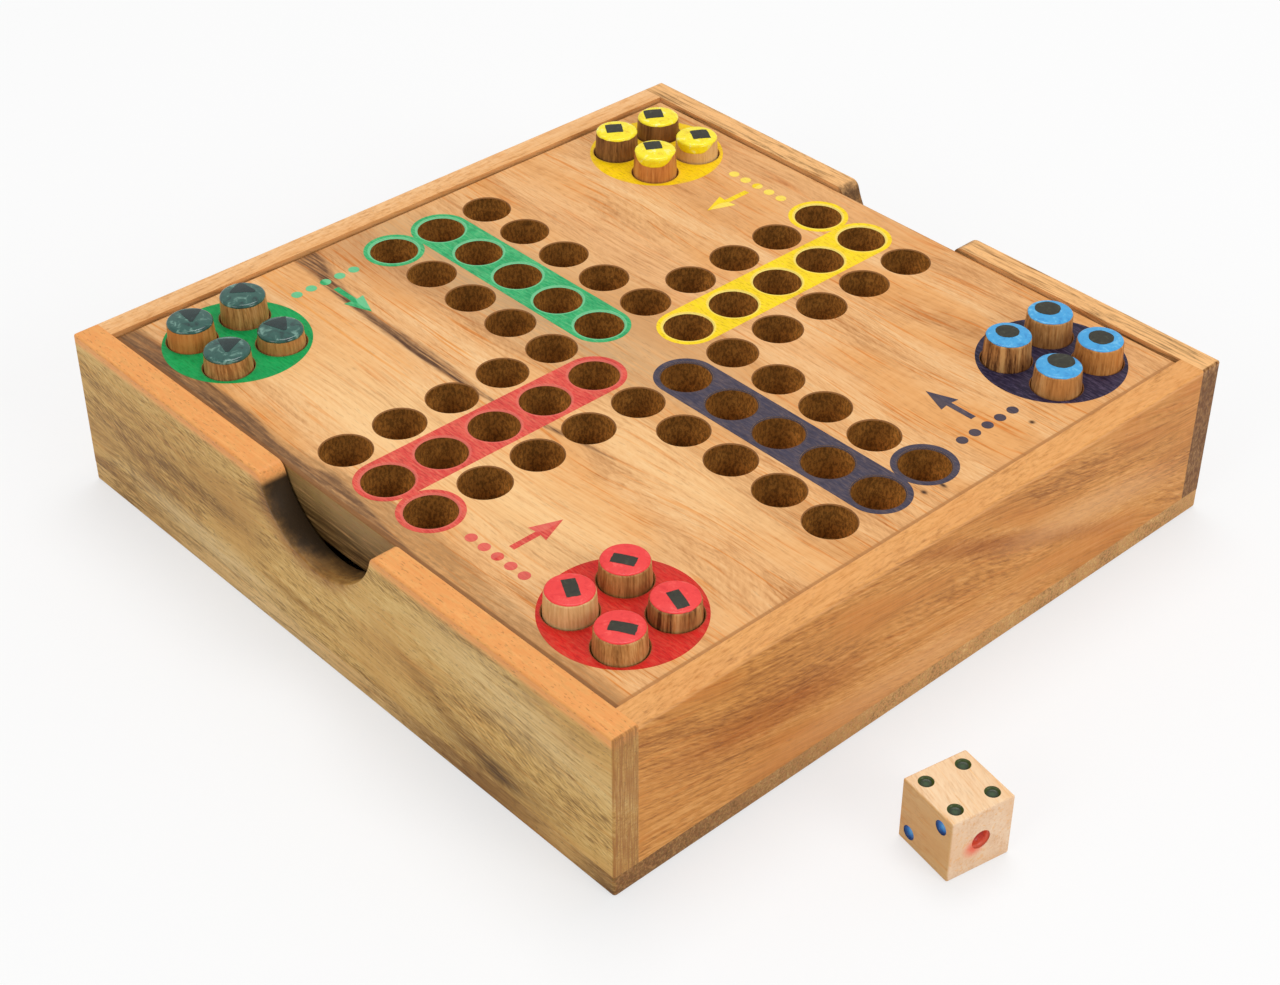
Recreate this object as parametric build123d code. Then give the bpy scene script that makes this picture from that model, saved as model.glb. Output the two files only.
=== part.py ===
from build123d import *
import os
from math import sqrt

# A ludo game in a square wooden box. Four walls stand on a glued bottom panel, and the drilled
# playing board drops in between them as the lid, on a block in each corner. Sixteen pegs stand
# in the board's four bases, and a die lies on the table beside the box.
# Millimetres. +Z is up, and the origin is on the table, under the middle of the box.
# The board's track runs along X and Y, and the finger notches are in the two walls that face Y.

# Playing board
HOLE_PITCH = 15.0  # from one hole of the track to the next
ARM_HOLES = 5  # holes from the middle of the board to the end of an arm
HOLE_DIAMETER = 12.0
HOLE_FLOOR = 5.0  # wood left under a hole
HOLE_RIM = 0.25  # worn edge round each hole
BOARD_THICKNESS = 14.0
BOARD_MARGIN = 13.0  # from the outermost hole's centre to the board's edge
BOARD_EASE = 0.4  # rounding of the board's edges

# Pegs
PEG_GAP = 0.25  # from a peg to its hole's wall
PEG_TAPER = 0.3  # how much narrower a peg's radius is at its top
PEG_EASE = 0.7  # rounding of a peg's top edge
PEG_DOME = 0.3  # rise of a peg's top in its middle
PEG_FOOT_EASE = 0.4

# Height of each peg above the board. The pegs are sawn by eye, so few are alike.
PEG_STANDS = {
    "green": (4.2, 6.7, 5.2, 6.0),
    "yellow": (7.0, 6.7, 5.6, 5.6),
    "red": (5.6, 4.8, 6.0, 5.6),
    "blue": (7.1, 5.9, 6.8, 6.5),
}

# Box
WALL = 6.5
PANEL = 5.5
BOARD_GAP = 0.5  # from the board's edge to the walls
BOARD_RECESS = 1.0  # from the walls' tops down to the board's top
CAVITY_HEIGHT = 22.0  # room under the board, and height of the blocks that carry it
BLOCK_SIDE = 12.0
PANEL_EASE = 0.8  # rounding of the bottom panel's outer edges
WALL_EASE = 0.6  # rounding of the walls' outer edges

# Finger notches
NOTCH_RADIUS = 20.0
NOTCH_ROOM = 1.0  # how far a notch reaches below the board, so that a finger gets under it
NOTCH_END_ROUND = 2.5

# Die
DIE_SIDE = 16.0
DIE_EASE = 0.5
DIE_ASIDE = 35.5  # from the box's side to the die's middle
DIE_FORWARD = 34.0  # from the box's middle towards the front
DIE_TURN = -10.5  # degrees about Z
PIP_DIAMETER = 3.4
PIP_DEPTH = 0.8
PIP_SPREAD = 4.7  # from the middle of a face to a pip, each way
ACE_DIAMETER = 4.6
ACE_DEPTH = 2.2

# Sizes that follow from the ones above
BOARD_SIDE = 2 * (ARM_HOLES * HOLE_PITCH + BOARD_MARGIN)
INSIDE = BOARD_SIDE + 2 * BOARD_GAP
OUTSIDE = INSIDE + 2 * WALL
BOARD_BOTTOM = PANEL + CAVITY_HEIGHT
BOARD_TOP = BOARD_BOTTOM + BOARD_THICKNESS
WALL_TOP = BOARD_TOP + BOARD_RECESS
WALL_HEIGHT = WALL_TOP - PANEL
HOLE_BOTTOM = BOARD_BOTTOM + HOLE_FLOOR
HOLE_DEPTH = BOARD_THICKNESS - HOLE_FLOOR
NOTCH_DEPTH = BOARD_RECESS + BOARD_THICKNESS + NOTCH_ROOM
PEG_RADIUS = HOLE_DIAMETER / 2 - PEG_GAP
PEG_TOP_RADIUS = PEG_RADIUS - PEG_TAPER

# Positions closer than this count as one
NEAR = 0.01

# Each base's corner of the board, as signs of X and Y
BASES = {"green": (-1, -1), "yellow": (-1, 1), "red": (1, -1), "blue": (1, 1)}
FACE_AWAY = {"front": -1, "back": 1}
SIDE_AWAY = {"left": -1, "right": 1}


def base_holes(signs):
    """Centres of the four peg holes of one base, on the track's own grid."""
    steps = (ARM_HOLES - 1, ARM_HOLES)
    return [(signs[0] * i * HOLE_PITCH, signs[1] * j * HOLE_PITCH) for j in steps for i in steps]


def track_holes():
    """Centres of the holes of the cross, three rows wide, with none in its middle."""
    steps = range(-ARM_HOLES, ARM_HOLES + 1)
    cross = [(i, j) for i in steps for j in steps if min(abs(i), abs(j)) <= 1]
    return [(i * HOLE_PITCH, j * HOLE_PITCH) for i, j in cross if (i, j) != (0, 0)]


def near(a, b):
    """Whether two positions are the same."""
    return abs(a - b) < NEAR


def edges_at(shape, axis, value):
    """The edges of a shape that lie at one value of an axis."""
    return shape.edges().filter_by_position(axis, value, value)


def panel():
    """The bottom panel, under all four walls and flush with them."""
    plate = Pos(0, 0, PANEL / 2) * Box(OUTSIDE, OUTSIDE, PANEL)
    outer = plate.edges().filter_by(Axis.Z) + edges_at(plate, Axis.Z, 0)
    return fillet(outer, min(PANEL_EASE, PANEL / 3))


def notched_outline():
    """The outline of a long wall in its own plane, with the finger notch in its top edge."""
    centre = WALL_HEIGHT - NOTCH_DEPTH + NOTCH_RADIUS
    whole = Pos(0, WALL_HEIGHT / 2) * Rectangle(OUTSIDE, WALL_HEIGHT)
    notch = Pos(0, centre) * Circle(NOTCH_RADIUS)
    if centre > WALL_HEIGHT:
        mouth = sqrt(NOTCH_RADIUS**2 - (centre - WALL_HEIGHT) ** 2)
    else:
        mouth = NOTCH_RADIUS
        notch += Pos(0, (centre + WALL_HEIGHT) / 2) * Rectangle(2 * mouth, WALL_HEIGHT - centre)
    cut = whole - notch
    ends = [v for v in cut.vertices() if near(abs(v.X), mouth) and near(v.Y, WALL_HEIGHT)]
    return fillet(ends, NOTCH_END_ROUND)


def long_wall(away):
    """The front (away -1) or back (away 1) wall: full width, with its end grain at the sides."""
    flat = extrude(Plane.XZ * notched_outline(), WALL / 2, both=True)
    wall = Pos(0, away * (OUTSIDE - WALL) / 2, PANEL) * flat
    face = [e for e in edges_at(wall, Axis.Y, away * OUTSIDE / 2) if e.center().Z > PANEL + NEAR]
    tops = [e for e in edges_at(wall, Axis.Z, WALL_TOP) if near(abs(e.center().X), OUTSIDE / 2)]
    return fillet(face + tops, min(WALL_EASE, WALL / 3))


def short_wall(away):
    """The left (away -1) or right (away 1) wall, between the two long ones."""
    wall = Pos(away * (OUTSIDE - WALL) / 2, 0, PANEL + WALL_HEIGHT / 2) * Box(WALL, INSIDE, WALL_HEIGHT)
    rim = [e for e in edges_at(wall, Axis.X, away * OUTSIDE / 2) if near(e.center().Z, WALL_TOP)]
    return fillet(rim, min(WALL_EASE, WALL / 3))


def corner_block(signs):
    """A block in a corner of the box, which carries a corner of the board."""
    middle = (INSIDE - BLOCK_SIDE) / 2
    place = Pos(signs[0] * middle, signs[1] * middle, PANEL + CAVITY_HEIGHT / 2)
    return place * Box(BLOCK_SIDE, BLOCK_SIDE, CAVITY_HEIGHT)


def board():
    """The playing board, which is also the lid, with a blind hole for each place of the game."""
    slab = Pos(0, 0, BOARD_BOTTOM + BOARD_THICKNESS / 2) * Box(BOARD_SIDE, BOARD_SIDE, BOARD_THICKNESS)
    outer = slab.edges().filter_by(Axis.Z) + edges_at(slab, Axis.Z, BOARD_TOP)
    slab = fillet(outer + edges_at(slab, Axis.Z, BOARD_BOTTOM), BOARD_EASE)
    centres = track_holes()
    for signs in BASES.values():
        centres += base_holes(signs)
    drill = extrude(Circle(HOLE_DIAMETER / 2), HOLE_DEPTH)
    slab -= [Pos(x, y, HOLE_BOTTOM) * drill for x, y in centres]
    rims = edges_at(slab, Axis.Z, BOARD_TOP).filter_by(GeomType.CIRCLE)
    return chamfer(rims, HOLE_RIM)


def peg(x, y, stand):
    """A turned peg standing in its hole: straight in the hole, drawn in above it, softly domed."""
    length = HOLE_DEPTH + stand
    crown = (PEG_TOP_RADIUS - PEG_EASE, length - PEG_DOME)
    shoulder_height = length - PEG_DOME - PEG_EASE
    side = Polyline(
        (0, 0),
        (PEG_RADIUS - PEG_FOOT_EASE, 0),
        (PEG_RADIUS, PEG_FOOT_EASE),
        (PEG_RADIUS, HOLE_DEPTH),
        (PEG_TOP_RADIUS, shoulder_height),
    )
    shoulder = TangentArc((PEG_TOP_RADIUS, shoulder_height), crown, tangent=(0, 1))
    dome = TangentArc((0, length), crown, tangent=(1, 0))
    outline = make_face(side + shoulder + dome + Line((0, length), (0, 0)))
    return Pos(x, y, HOLE_BOTTOM) * revolve(Plane.XZ * outline, Axis.Z)


def pip_places(count):
    """Where the pips of one face lie, from the middle of the face."""
    s = PIP_SPREAD
    places = [(0, 0)] if count % 2 else []
    if count > 1:
        places += [(s, s), (-s, -s)]
    if count > 3:
        places += [(s, -s), (-s, s)]
    if count == 6:
        places += [(s, 0), (-s, 0)]
    return places


def die():
    """The die on the table, with its pips drilled in. Opposite faces add up to seven."""
    cube = Box(DIE_SIDE, DIE_SIDE, DIE_SIDE)
    cube = fillet(cube.edges(), DIE_EASE)
    half = DIE_SIDE / 2
    faces = {
        1: Plane((half, 0, 0), x_dir=(0, 1, 0), z_dir=(1, 0, 0)),
        2: Plane((0, -half, 0), x_dir=(1, 0, 0), z_dir=(0, -1, 0)),
        3: Plane((0, 0, -half), x_dir=(1, 0, 0), z_dir=(0, 0, -1)),
        4: Plane((0, 0, half), x_dir=(1, 0, 0), z_dir=(0, 0, 1)),
        5: Plane((0, half, 0), x_dir=(1, 0, 0), z_dir=(0, 1, 0)),
        6: Plane((-half, 0, 0), x_dir=(0, 1, 0), z_dir=(-1, 0, 0)),
    }
    for count, face in faces.items():
        wide, deep = (ACE_DIAMETER, ACE_DEPTH) if count == 1 else (PIP_DIAMETER, PIP_DEPTH)
        pit = extrude(Circle(wide / 2), -deep)
        cube -= [face * Pos(x, y) * pit for x, y in pip_places(count)]
    place = Pos(OUTSIDE / 2 + DIE_ASIDE, -DIE_FORWARD, half)
    return place * Rot(0, 0, DIE_TURN) * cube


def build_all():
    """Every piece of the game, by its name."""
    pieces = {"bottom_panel": panel(), "board": board(), "die": die()}
    for word, away in FACE_AWAY.items():
        pieces["wall_" + word] = long_wall(away)
    for word, away in SIDE_AWAY.items():
        pieces["wall_" + word] = short_wall(away)
        for face_word, face_away in FACE_AWAY.items():
            pieces["block_" + face_word + "_" + word] = corner_block((away, face_away))
    for colour, signs in BASES.items():
        places = zip(base_holes(signs), PEG_STANDS[colour])
        for number, ((x, y), stand) in enumerate(places, start=1):
            pieces["peg_" + colour + "_" + str(number)] = peg(x, y, stand)
    return pieces


os.makedirs("parts", exist_ok=True)
for name, piece in build_all().items():
    export_step(piece, "parts/" + name + ".step")
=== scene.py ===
"""A wooden ludo game, dressed for the studio: the drilled board in its box, sixteen pegs and a die."""

import logging
from dataclasses import dataclass, field
from enum import Enum
from math import cos, pi, radians, sin, tau
from typing import NamedTuple, Union

import bmesh
import bpy
from mathutils import Matrix, Vector


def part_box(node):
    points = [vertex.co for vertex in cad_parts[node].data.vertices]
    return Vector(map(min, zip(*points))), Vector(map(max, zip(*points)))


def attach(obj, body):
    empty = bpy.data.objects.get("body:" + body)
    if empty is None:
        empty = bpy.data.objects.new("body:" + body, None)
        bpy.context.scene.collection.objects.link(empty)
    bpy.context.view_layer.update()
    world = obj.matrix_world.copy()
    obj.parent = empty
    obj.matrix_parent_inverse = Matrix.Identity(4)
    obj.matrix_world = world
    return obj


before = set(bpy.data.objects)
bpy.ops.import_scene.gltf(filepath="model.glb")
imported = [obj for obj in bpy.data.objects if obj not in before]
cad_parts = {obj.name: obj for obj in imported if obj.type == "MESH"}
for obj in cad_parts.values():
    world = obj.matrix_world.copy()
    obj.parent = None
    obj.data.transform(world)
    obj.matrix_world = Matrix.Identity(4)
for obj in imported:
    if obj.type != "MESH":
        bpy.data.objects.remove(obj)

MM = 0.001
MARK_THICKNESS = 0.09
Colour = tuple[float, float, float]
Point = tuple[float, float, float]
Pair = tuple[float, float]
Socket = bpy.types.NodeSocket
Feed = Union[float, int, str, bool, tuple, Vector, bpy.types.ID, Socket]

log = logging.getLogger("ludo")


def tone(red: int, green: int, blue: int) -> Colour:
    """A colour for a shader, from the 0 to 255 values that it has on a screen.

    Args:
        red: The red value.
        green: The green value.
        blue: The blue value.

    Returns:
        The same colour in linear light.
    """

    def linear(value: int) -> float:
        """One channel in linear light."""
        part = value / 255
        return part / 12.92 if part <= 0.04045 else ((part + 0.055) / 1.055) ** 2.4

    return (linear(red), linear(green), linear(blue))


class Axis(Enum):
    """A direction of the box, as the place of its number in a point."""

    X = 0
    Y = 1
    Z = 2


class Blend(Enum):
    """How a stain meets the wood below it."""

    TINT = "MULTIPLY"
    COVER = "MIX"


class Wiring:
    """A node tree under construction, with one short call for each sum."""

    def __init__(self, tree: bpy.types.NodeTree) -> None:
        """Takes the tree to build.

        Args:
            tree: The node tree.
        """
        self.tree = tree

    def feed(self, socket: Socket, value: Feed) -> None:
        """Gives an input a value or another node's result.

        Args:
            socket: The input.
            value: What it takes.
        """
        if isinstance(value, bpy.types.NodeSocket):
            self.tree.links.new(value, socket)
        elif socket.type == "RGBA":
            socket.default_value = (*value, 1.0)
        else:
            socket.default_value = value

    def add(self, kind: str, feeds: dict | None = None, **settings: Feed) -> bpy.types.Node:
        """Adds a node.

        Args:
            kind: The node's type.
            feeds: What its inputs take, by name or number.
            **settings: The node's own settings.

        Returns:
            The node.
        """
        node = self.tree.nodes.new(kind)
        for name, value in settings.items():
            setattr(node, name, value)
        for key, value in (feeds or {}).items():
            self.feed(node.inputs[key], value)
        return node

    def calc(self, sum_name: str, *values: Feed) -> Socket:
        """A sum of numbers.

        Args:
            sum_name: The sum, such as ADD.
            *values: Its numbers.

        Returns:
            The result.
        """
        node = self.add("ShaderNodeMath", dict(enumerate(values)), operation=sum_name)
        return node.outputs[0]

    def plus(self, *values: Feed) -> Socket:
        """All the values added up.

        Args:
            *values: Two or more numbers.

        Returns:
            Their sum.
        """
        total = values[0]
        for value in values[1:]:
            total = self.calc("ADD", total, value)
        return total

    def times(self, *values: Feed) -> Socket:
        """All the values multiplied.

        Args:
            *values: Two or more numbers.

        Returns:
            Their product.
        """
        total = values[0]
        for value in values[1:]:
            total = self.calc("MULTIPLY", total, value)
        return total

    def minus(self, value: Feed, taken: Feed) -> Socket:
        """One value less another."""
        return self.calc("SUBTRACT", value, taken)

    def join(self, x: Feed, y: Feed, z: Feed) -> Socket:
        """Three numbers as a vector."""
        return self.add("ShaderNodeCombineXYZ", {0: x, 1: y, 2: z}).outputs[0]

    def split(self, vector: Socket) -> tuple[Socket, Socket, Socket]:
        """A vector's three numbers."""
        return tuple(self.add("ShaderNodeSeparateXYZ", {0: vector}).outputs)

    def over(self, vector: Socket, sizes: Point) -> Socket:
        """A vector divided by a size along each axis, so that one unit is one feature."""
        return self.add("ShaderNodeVectorMath", {0: vector, 1: sizes}, operation="DIVIDE").outputs[0]

    def noise(self, at: Socket, detail: float = 2.0, rough: float = 0.5, twist: float = 0.0) -> Socket:
        """Soft noise between 0 and 1, about one feature to a unit.

        Args:
            at: Where it is read.
            detail: How many finer layers it has.
            rough: How strong those are.
            twist: How much it is bent on itself.

        Returns:
            The value there.
        """
        feeds = {"Vector": at, "Scale": 1.0, "Detail": detail, "Roughness": rough, "Distortion": twist}
        return self.add("ShaderNodeTexNoise", feeds, noise_dimensions="3D").outputs[0]

    def step(self, value: Feed, low: float, high: float) -> Socket:
        """A soft step: 0 up to low, 1 from high. It falls instead where low is the larger."""
        feeds = {"Value": value, "From Min": low, "From Max": high}
        return self.add("ShaderNodeMapRange", feeds, interpolation_type="SMOOTHSTEP").outputs[0]

    def line(self, value: Socket, points: tuple[Pair, ...]) -> Socket:
        """A smooth line through points, read at a value.

        Args:
            value: Where it is read.
            points: Its points, from left to right.

        Returns:
            The line's height there. Past its ends it stays level.
        """
        firsts, seconds = [p[0] for p in points], [p[1] for p in points]
        start, width = firsts[0], firsts[-1] - firsts[0]
        foot, rise = min(seconds), max(max(seconds) - min(seconds), 1e-6)
        share = self.add("ShaderNodeMapRange", {"Value": value, "From Min": start, "From Max": start + width})
        node = self.add("ShaderNodeFloatCurve", {"Value": share.outputs[0]})
        curve = node.mapping.curves[0]
        places = [((a - start) / width, (b - foot) / rise) for a, b in points]
        curve.points[0].location = places[0]
        curve.points[-1].location = places[-1]
        for place in places[1:-1]:
            curve.points.new(*place)
        node.mapping.update()
        return self.plus(self.times(node.outputs[0], rise), foot)


class Growth(NamedTuple):
    """What the grain of a piece of wood is like at a point, each from 0 to 1."""

    tone: Socket
    fibre: Socket
    pore: Socket
    cloud: Socket
    line: Socket


class Finish(Wiring):
    """A material in the making: its shader, and where on the object a point lies, in mm."""

    def __init__(self, name: str, centre: Point = (0.0, 0.0, 0.0), turn: float = 0.0) -> None:
        """Starts the material.

        Args:
            name: The material's name.
            centre: Where its pattern is centred, in mm.
            turn: How far the pattern is turned about Z, in degrees.
        """
        self.material = bpy.data.materials.new(name)
        self.material.use_nodes = True
        super().__init__(self.material.node_tree)
        self.tree.nodes.clear()
        self.shader = self.add("ShaderNodeBsdfPrincipled")
        self.add("ShaderNodeOutputMaterial", {"Surface": self.shader.outputs[0]})
        feeds = {
            "Vector": self.add("ShaderNodeTexCoord").outputs["Object"],
            "Location": tuple(value * MM for value in centre),
            "Rotation": (0.0, 0.0, radians(turn)),
            "Scale": (MM, MM, MM),
        }
        self.point = self.add("ShaderNodeMapping", feeds, vector_type="TEXTURE").outputs[0]
        self.places = self.split(self.point)

    def give(self, **values: Feed) -> None:
        """Sets the shader's inputs, named with _ for each space."""
        for name, value in values.items():
            self.feed(self.shader.inputs[name.replace("_", " ")], value)

    def mix(self, amount: Feed, first: Feed, second: Feed, blend: Blend = Blend.COVER) -> Socket:
        """Two colours mixed.

        Args:
            amount: How much of the second.
            first: The first colour.
            second: The second colour.
            blend: How they meet.

        Returns:
            The mixed colour.
        """
        feeds = {0: amount, 6: first, 7: second}
        node = self.add("ShaderNodeMix", data_type="RGBA", blend_type=blend.value, clamp_result=True)
        for key, value in feeds.items():
            self.feed(node.inputs[key], value)
        return node.outputs[2]

    def ramp(self, value: Socket, stops: tuple[tuple[float, Colour], ...]) -> Socket:
        """A colour that follows a value.

        Args:
            value: The value.
            stops: Values and their colours, from low to high.

        Returns:
            The colour.
        """
        node = self.add("ShaderNodeValToRGB", {0: value})
        band = node.color_ramp
        band.elements[0].position, band.elements[1].position = stops[0][0], stops[-1][0]
        band.elements[0].color, band.elements[1].color = (*stops[0][1], 1.0), (*stops[-1][1], 1.0)
        for place, colour in stops[1:-1]:
            band.elements.new(place).color = (*colour, 1.0)
        return node.outputs[0]

    def relief(self, height: Socket, depth: float, strength: float) -> None:
        """Gives the surface a fine relief.

        Args:
            height: Its height from 0 to 1.
            depth: Its depth in mm.
            strength: How strongly it shows, from 0 to 1.
        """
        feeds = {"Strength": strength, "Distance": depth * MM, "Height": height}
        self.give(Normal=self.add("ShaderNodeBump", feeds).outputs[0])


@dataclass(frozen=True, kw_only=True)
class Stain:
    """Something that tints, darkens or bleaches part of a piece of wood."""

    colour: Colour
    strength: float = 1.0
    blend: Blend = Blend.TINT
    across: Axis = Axis.Y
    ragged: float = 1.2
    grit: float = 0.0
    mottle: float = 0.0

    def edge(self, finish: Finish) -> Socket:
        """How far the stain's edge is off its line here, in mm, drawn out along X."""
        rough = finish.noise(finish.over(finish.point, (16.0, 1.3, 1.3)), 2.0)
        return finish.times(finish.minus(rough, 0.5), 2 * self.ragged)

    def shape(self, finish: Finish) -> Socket:
        """Where the stain is, from 0 to 1."""
        raise NotImplementedError

    def lay(self, finish: Finish, colour: Socket, growth: Growth) -> Socket:
        """Lays the stain over a colour.

        Args:
            finish: The material.
            colour: The colour below.
            growth: The wood's grain, which the stain follows by its grit.

        Returns:
            The stained colour.
        """
        amount = finish.times(self.shape(finish), self.strength)
        if self.grit:
            amount = finish.times(amount, finish.step(growth.fibre, 0.5 - self.grit, 0.5 + self.grit * 0.4))
        if self.mottle:
            spots = finish.noise(finish.over(finish.point, (3.4, 0.9, 0.9)), 3.0, 0.65)
            bare = finish.times(finish.step(spots, 0.44, 0.62), self.mottle)
            amount = finish.times(amount, finish.minus(1.0, bare))
        return finish.mix(amount, colour, self.colour, self.blend)


@dataclass(frozen=True, kw_only=True)
class Streak(Stain):
    """A dark vein along the grain, as a line with a width at each place."""

    line: tuple[Pair, ...]
    width: tuple[Pair, ...]
    soft: float = 0.5

    def shape(self, finish: Finish) -> Socket:
        """Where the vein is, from 0 to 1.

        Args:
            finish: The material.

        Returns:
            The amount.
        """
        along, aside = finish.places[0], finish.places[self.across.value]
        middle = finish.plus(finish.line(along, self.line), self.edge(finish))
        off = finish.calc("ABSOLUTE", finish.minus(aside, middle))
        return finish.step(finish.minus(off, finish.line(along, self.width)), self.soft, -self.soft)


@dataclass(frozen=True, kw_only=True)
class Heartwood(Stain):
    """Dark heartwood on the lower side of a line along the grain."""

    line: tuple[Pair, ...]
    soft: float = 0.8

    def shape(self, finish: Finish) -> Socket:
        """Where the heartwood is, from 0 to 1.

        Args:
            finish: The material.

        Returns:
            The amount.
        """
        along, aside = finish.places[0], finish.places[self.across.value]
        edge = finish.plus(finish.line(along, self.line), self.edge(finish))
        return finish.step(finish.minus(edge, aside), -self.soft, self.soft)


@dataclass(frozen=True, kw_only=True)
class Cloud(Stain):
    """A soft patch round a centre, turned along the grain."""

    centre: Pair
    reach: Pair
    slope: float = 0.0
    along: Axis = Axis.X

    def shape(self, finish: Finish) -> Socket:
        """Where the patch is, from 0 to 1.

        Args:
            finish: The material.

        Returns:
            The amount.
        """
        first = finish.minus(finish.places[self.along.value], self.centre[0])
        second = finish.minus(finish.places[self.across.value], self.centre[1])
        second = finish.minus(second, finish.plus(finish.times(first, self.slope), self.edge(finish)))
        first = finish.calc("DIVIDE", first, self.reach[0])
        second = finish.calc("DIVIDE", second, self.reach[1])
        off = finish.calc("SQRT", finish.plus(finish.times(first, first), finish.times(second, second)))
        return finish.step(off, 1.0, 0.1)


@dataclass(frozen=True, kw_only=True)
class Beyond(Stain):
    """All that lies past a level of one axis, up to an end."""

    start: float
    full: float

    def shape(self, finish: Finish) -> Socket:
        """Whether a point lies past the level, from 0 to 1."""
        return finish.step(finish.places[self.across.value], self.start, self.full)


@dataclass(frozen=True, kw_only=True)
class EdgeShade(Beyond):
    """Painted shade along a board's edge beside the walls, fading in from one height to another."""

    clear: float
    dark: float

    def shape(self, finish: Finish) -> Socket:
        """Where the shade is, from 0 to 1."""
        return finish.times(super().shape(finish), finish.step(finish.places[2], self.clear, self.dark))


@dataclass(frozen=True, kw_only=True)
class EndGrain(Beyond):
    """The cut end of a board, with the fine marks of its growth rings."""

    ring_size: Point = (50.0, 0.5, 9.0)
    rings: float = 0.5

    def shape(self, finish: Finish) -> Socket:
        """Where the end is, from 0 to 1, weaker on the pale rings.

        Args:
            finish: The material.

        Returns:
            The amount.
        """
        rings = finish.step(finish.noise(finish.over(finish.point, self.ring_size), 2.0, 0.6), 0.36, 0.64)
        share = finish.minus(1.0, finish.times(rings, self.rings))
        return finish.times(super().shape(finish), share)


@dataclass(frozen=True, kw_only=True)
class Scorch(Stain):
    """Burnt wood round a cut that runs across the piece, with a width at each place along it; its lean widens
    it towards one face as painted shade.
    """

    centre: Pair
    radius: float
    width: tuple[Pair, ...]
    soft: float = 1.0
    lean: float = 0.0
    level: float = -92.0

    def edge(self, finish: Finish) -> Socket:
        """How far the burn's edge is off its line here, in mm, in small tongues and specks."""
        rough = finish.noise(finish.over(finish.point, (2.6, 2.6, 2.6)), 4.0, 0.65)
        return finish.times(finish.minus(rough, 0.5), 2 * self.ragged)

    def shape(self, finish: Finish) -> Socket:
        """Where the wood is burnt, from 0 to 1.

        Args:
            finish: The material.

        Returns:
            The amount.
        """
        first = finish.minus(finish.places[0], self.centre[0])
        second = finish.minus(finish.places[2], self.centre[1])
        off = finish.calc("SQRT", finish.plus(finish.times(first, first), finish.times(second, second)))
        off = finish.plus(finish.minus(off, self.radius), self.edge(finish))
        # Painted shade: the lean widens the dark towards the wall's inner face, by the gap beside the board.
        wider = finish.times(finish.minus(finish.places[1], self.level), self.lean)
        wide = finish.plus(finish.line(finish.places[0], self.width), wider)
        return finish.step(finish.minus(off, wide), self.soft, -self.soft)


@dataclass(frozen=True, kw_only=True)
class Drilled(Stain):
    """The walls and floors of the board's holes, painted darker as shade in them: darker still towards their
    mouths, with painted light deeper down and on one diagonal side.
    """

    top: float
    floor: float
    edge_of_holes: float
    pitch: float
    deep_colour: Colour
    blotches: float = 10.0
    fuzz_strength: float = 0.55
    painted_light_gain: float = 3.2
    most_painted_light: float = 2.2

    def lay(self, finish: Finish, colour: Socket, growth: Growth) -> Socket:
        """Darkens the holes.

        Args:
            finish: The material.
            colour: The colour below.
            growth: The wood's grain; not used here.

        Returns:
            The stained colour.
        """
        x, y, height = finish.places
        wide = finish.calc("MAXIMUM", finish.calc("ABSOLUTE", x), finish.calc("ABSOLUTE", y))
        inside = finish.times(
            finish.calc("LESS_THAN", height, self.top),
            finish.calc("GREATER_THAN", height, self.floor - 0.1),
            finish.calc("LESS_THAN", wide, self.edge_of_holes),
        )
        fuzz = finish.noise(finish.over(finish.point, (0.6, 0.6, 1.1)), 3.0, 0.75)
        blot = finish.noise(finish.over(finish.point, (4.0, 4.0, 4.0)), 1.0)
        shift = finish.times(finish.minus(blot, 0.5), self.blotches)
        depth = finish.plus(finish.minus(self.top, height), shift)
        # Painted shade by depth: darker at the mouth, with painted light paler deeper down.
        shade = finish.mix(finish.step(depth, 0.0, self.top - self.floor), self.colour, self.deep_colour)
        dark = finish.mix(self.fuzz_strength, shade, (0.0, 0.0, 0.0))
        shade = finish.mix(finish.step(fuzz, 0.4, 0.6), dark, shade)
        # Painted light: each hole's walls paler towards one diagonal side, as if lit from there.
        cells = [finish.plus(finish.times(place, 1.0 / self.pitch), 0.5) for place in (x, y)]
        lean = finish.minus(finish.plus(*(finish.calc("FRACT", cell) for cell in cells)), 1.0)
        pale = finish.plus(1.0, lean, finish.times(lean, lean, self.painted_light_gain))
        shade = finish.mix(1.0, shade, finish.calc("MINIMUM", pale, self.most_painted_light), Blend.TINT)
        return finish.mix(finish.times(inside, self.strength), colour, shade)


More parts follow.
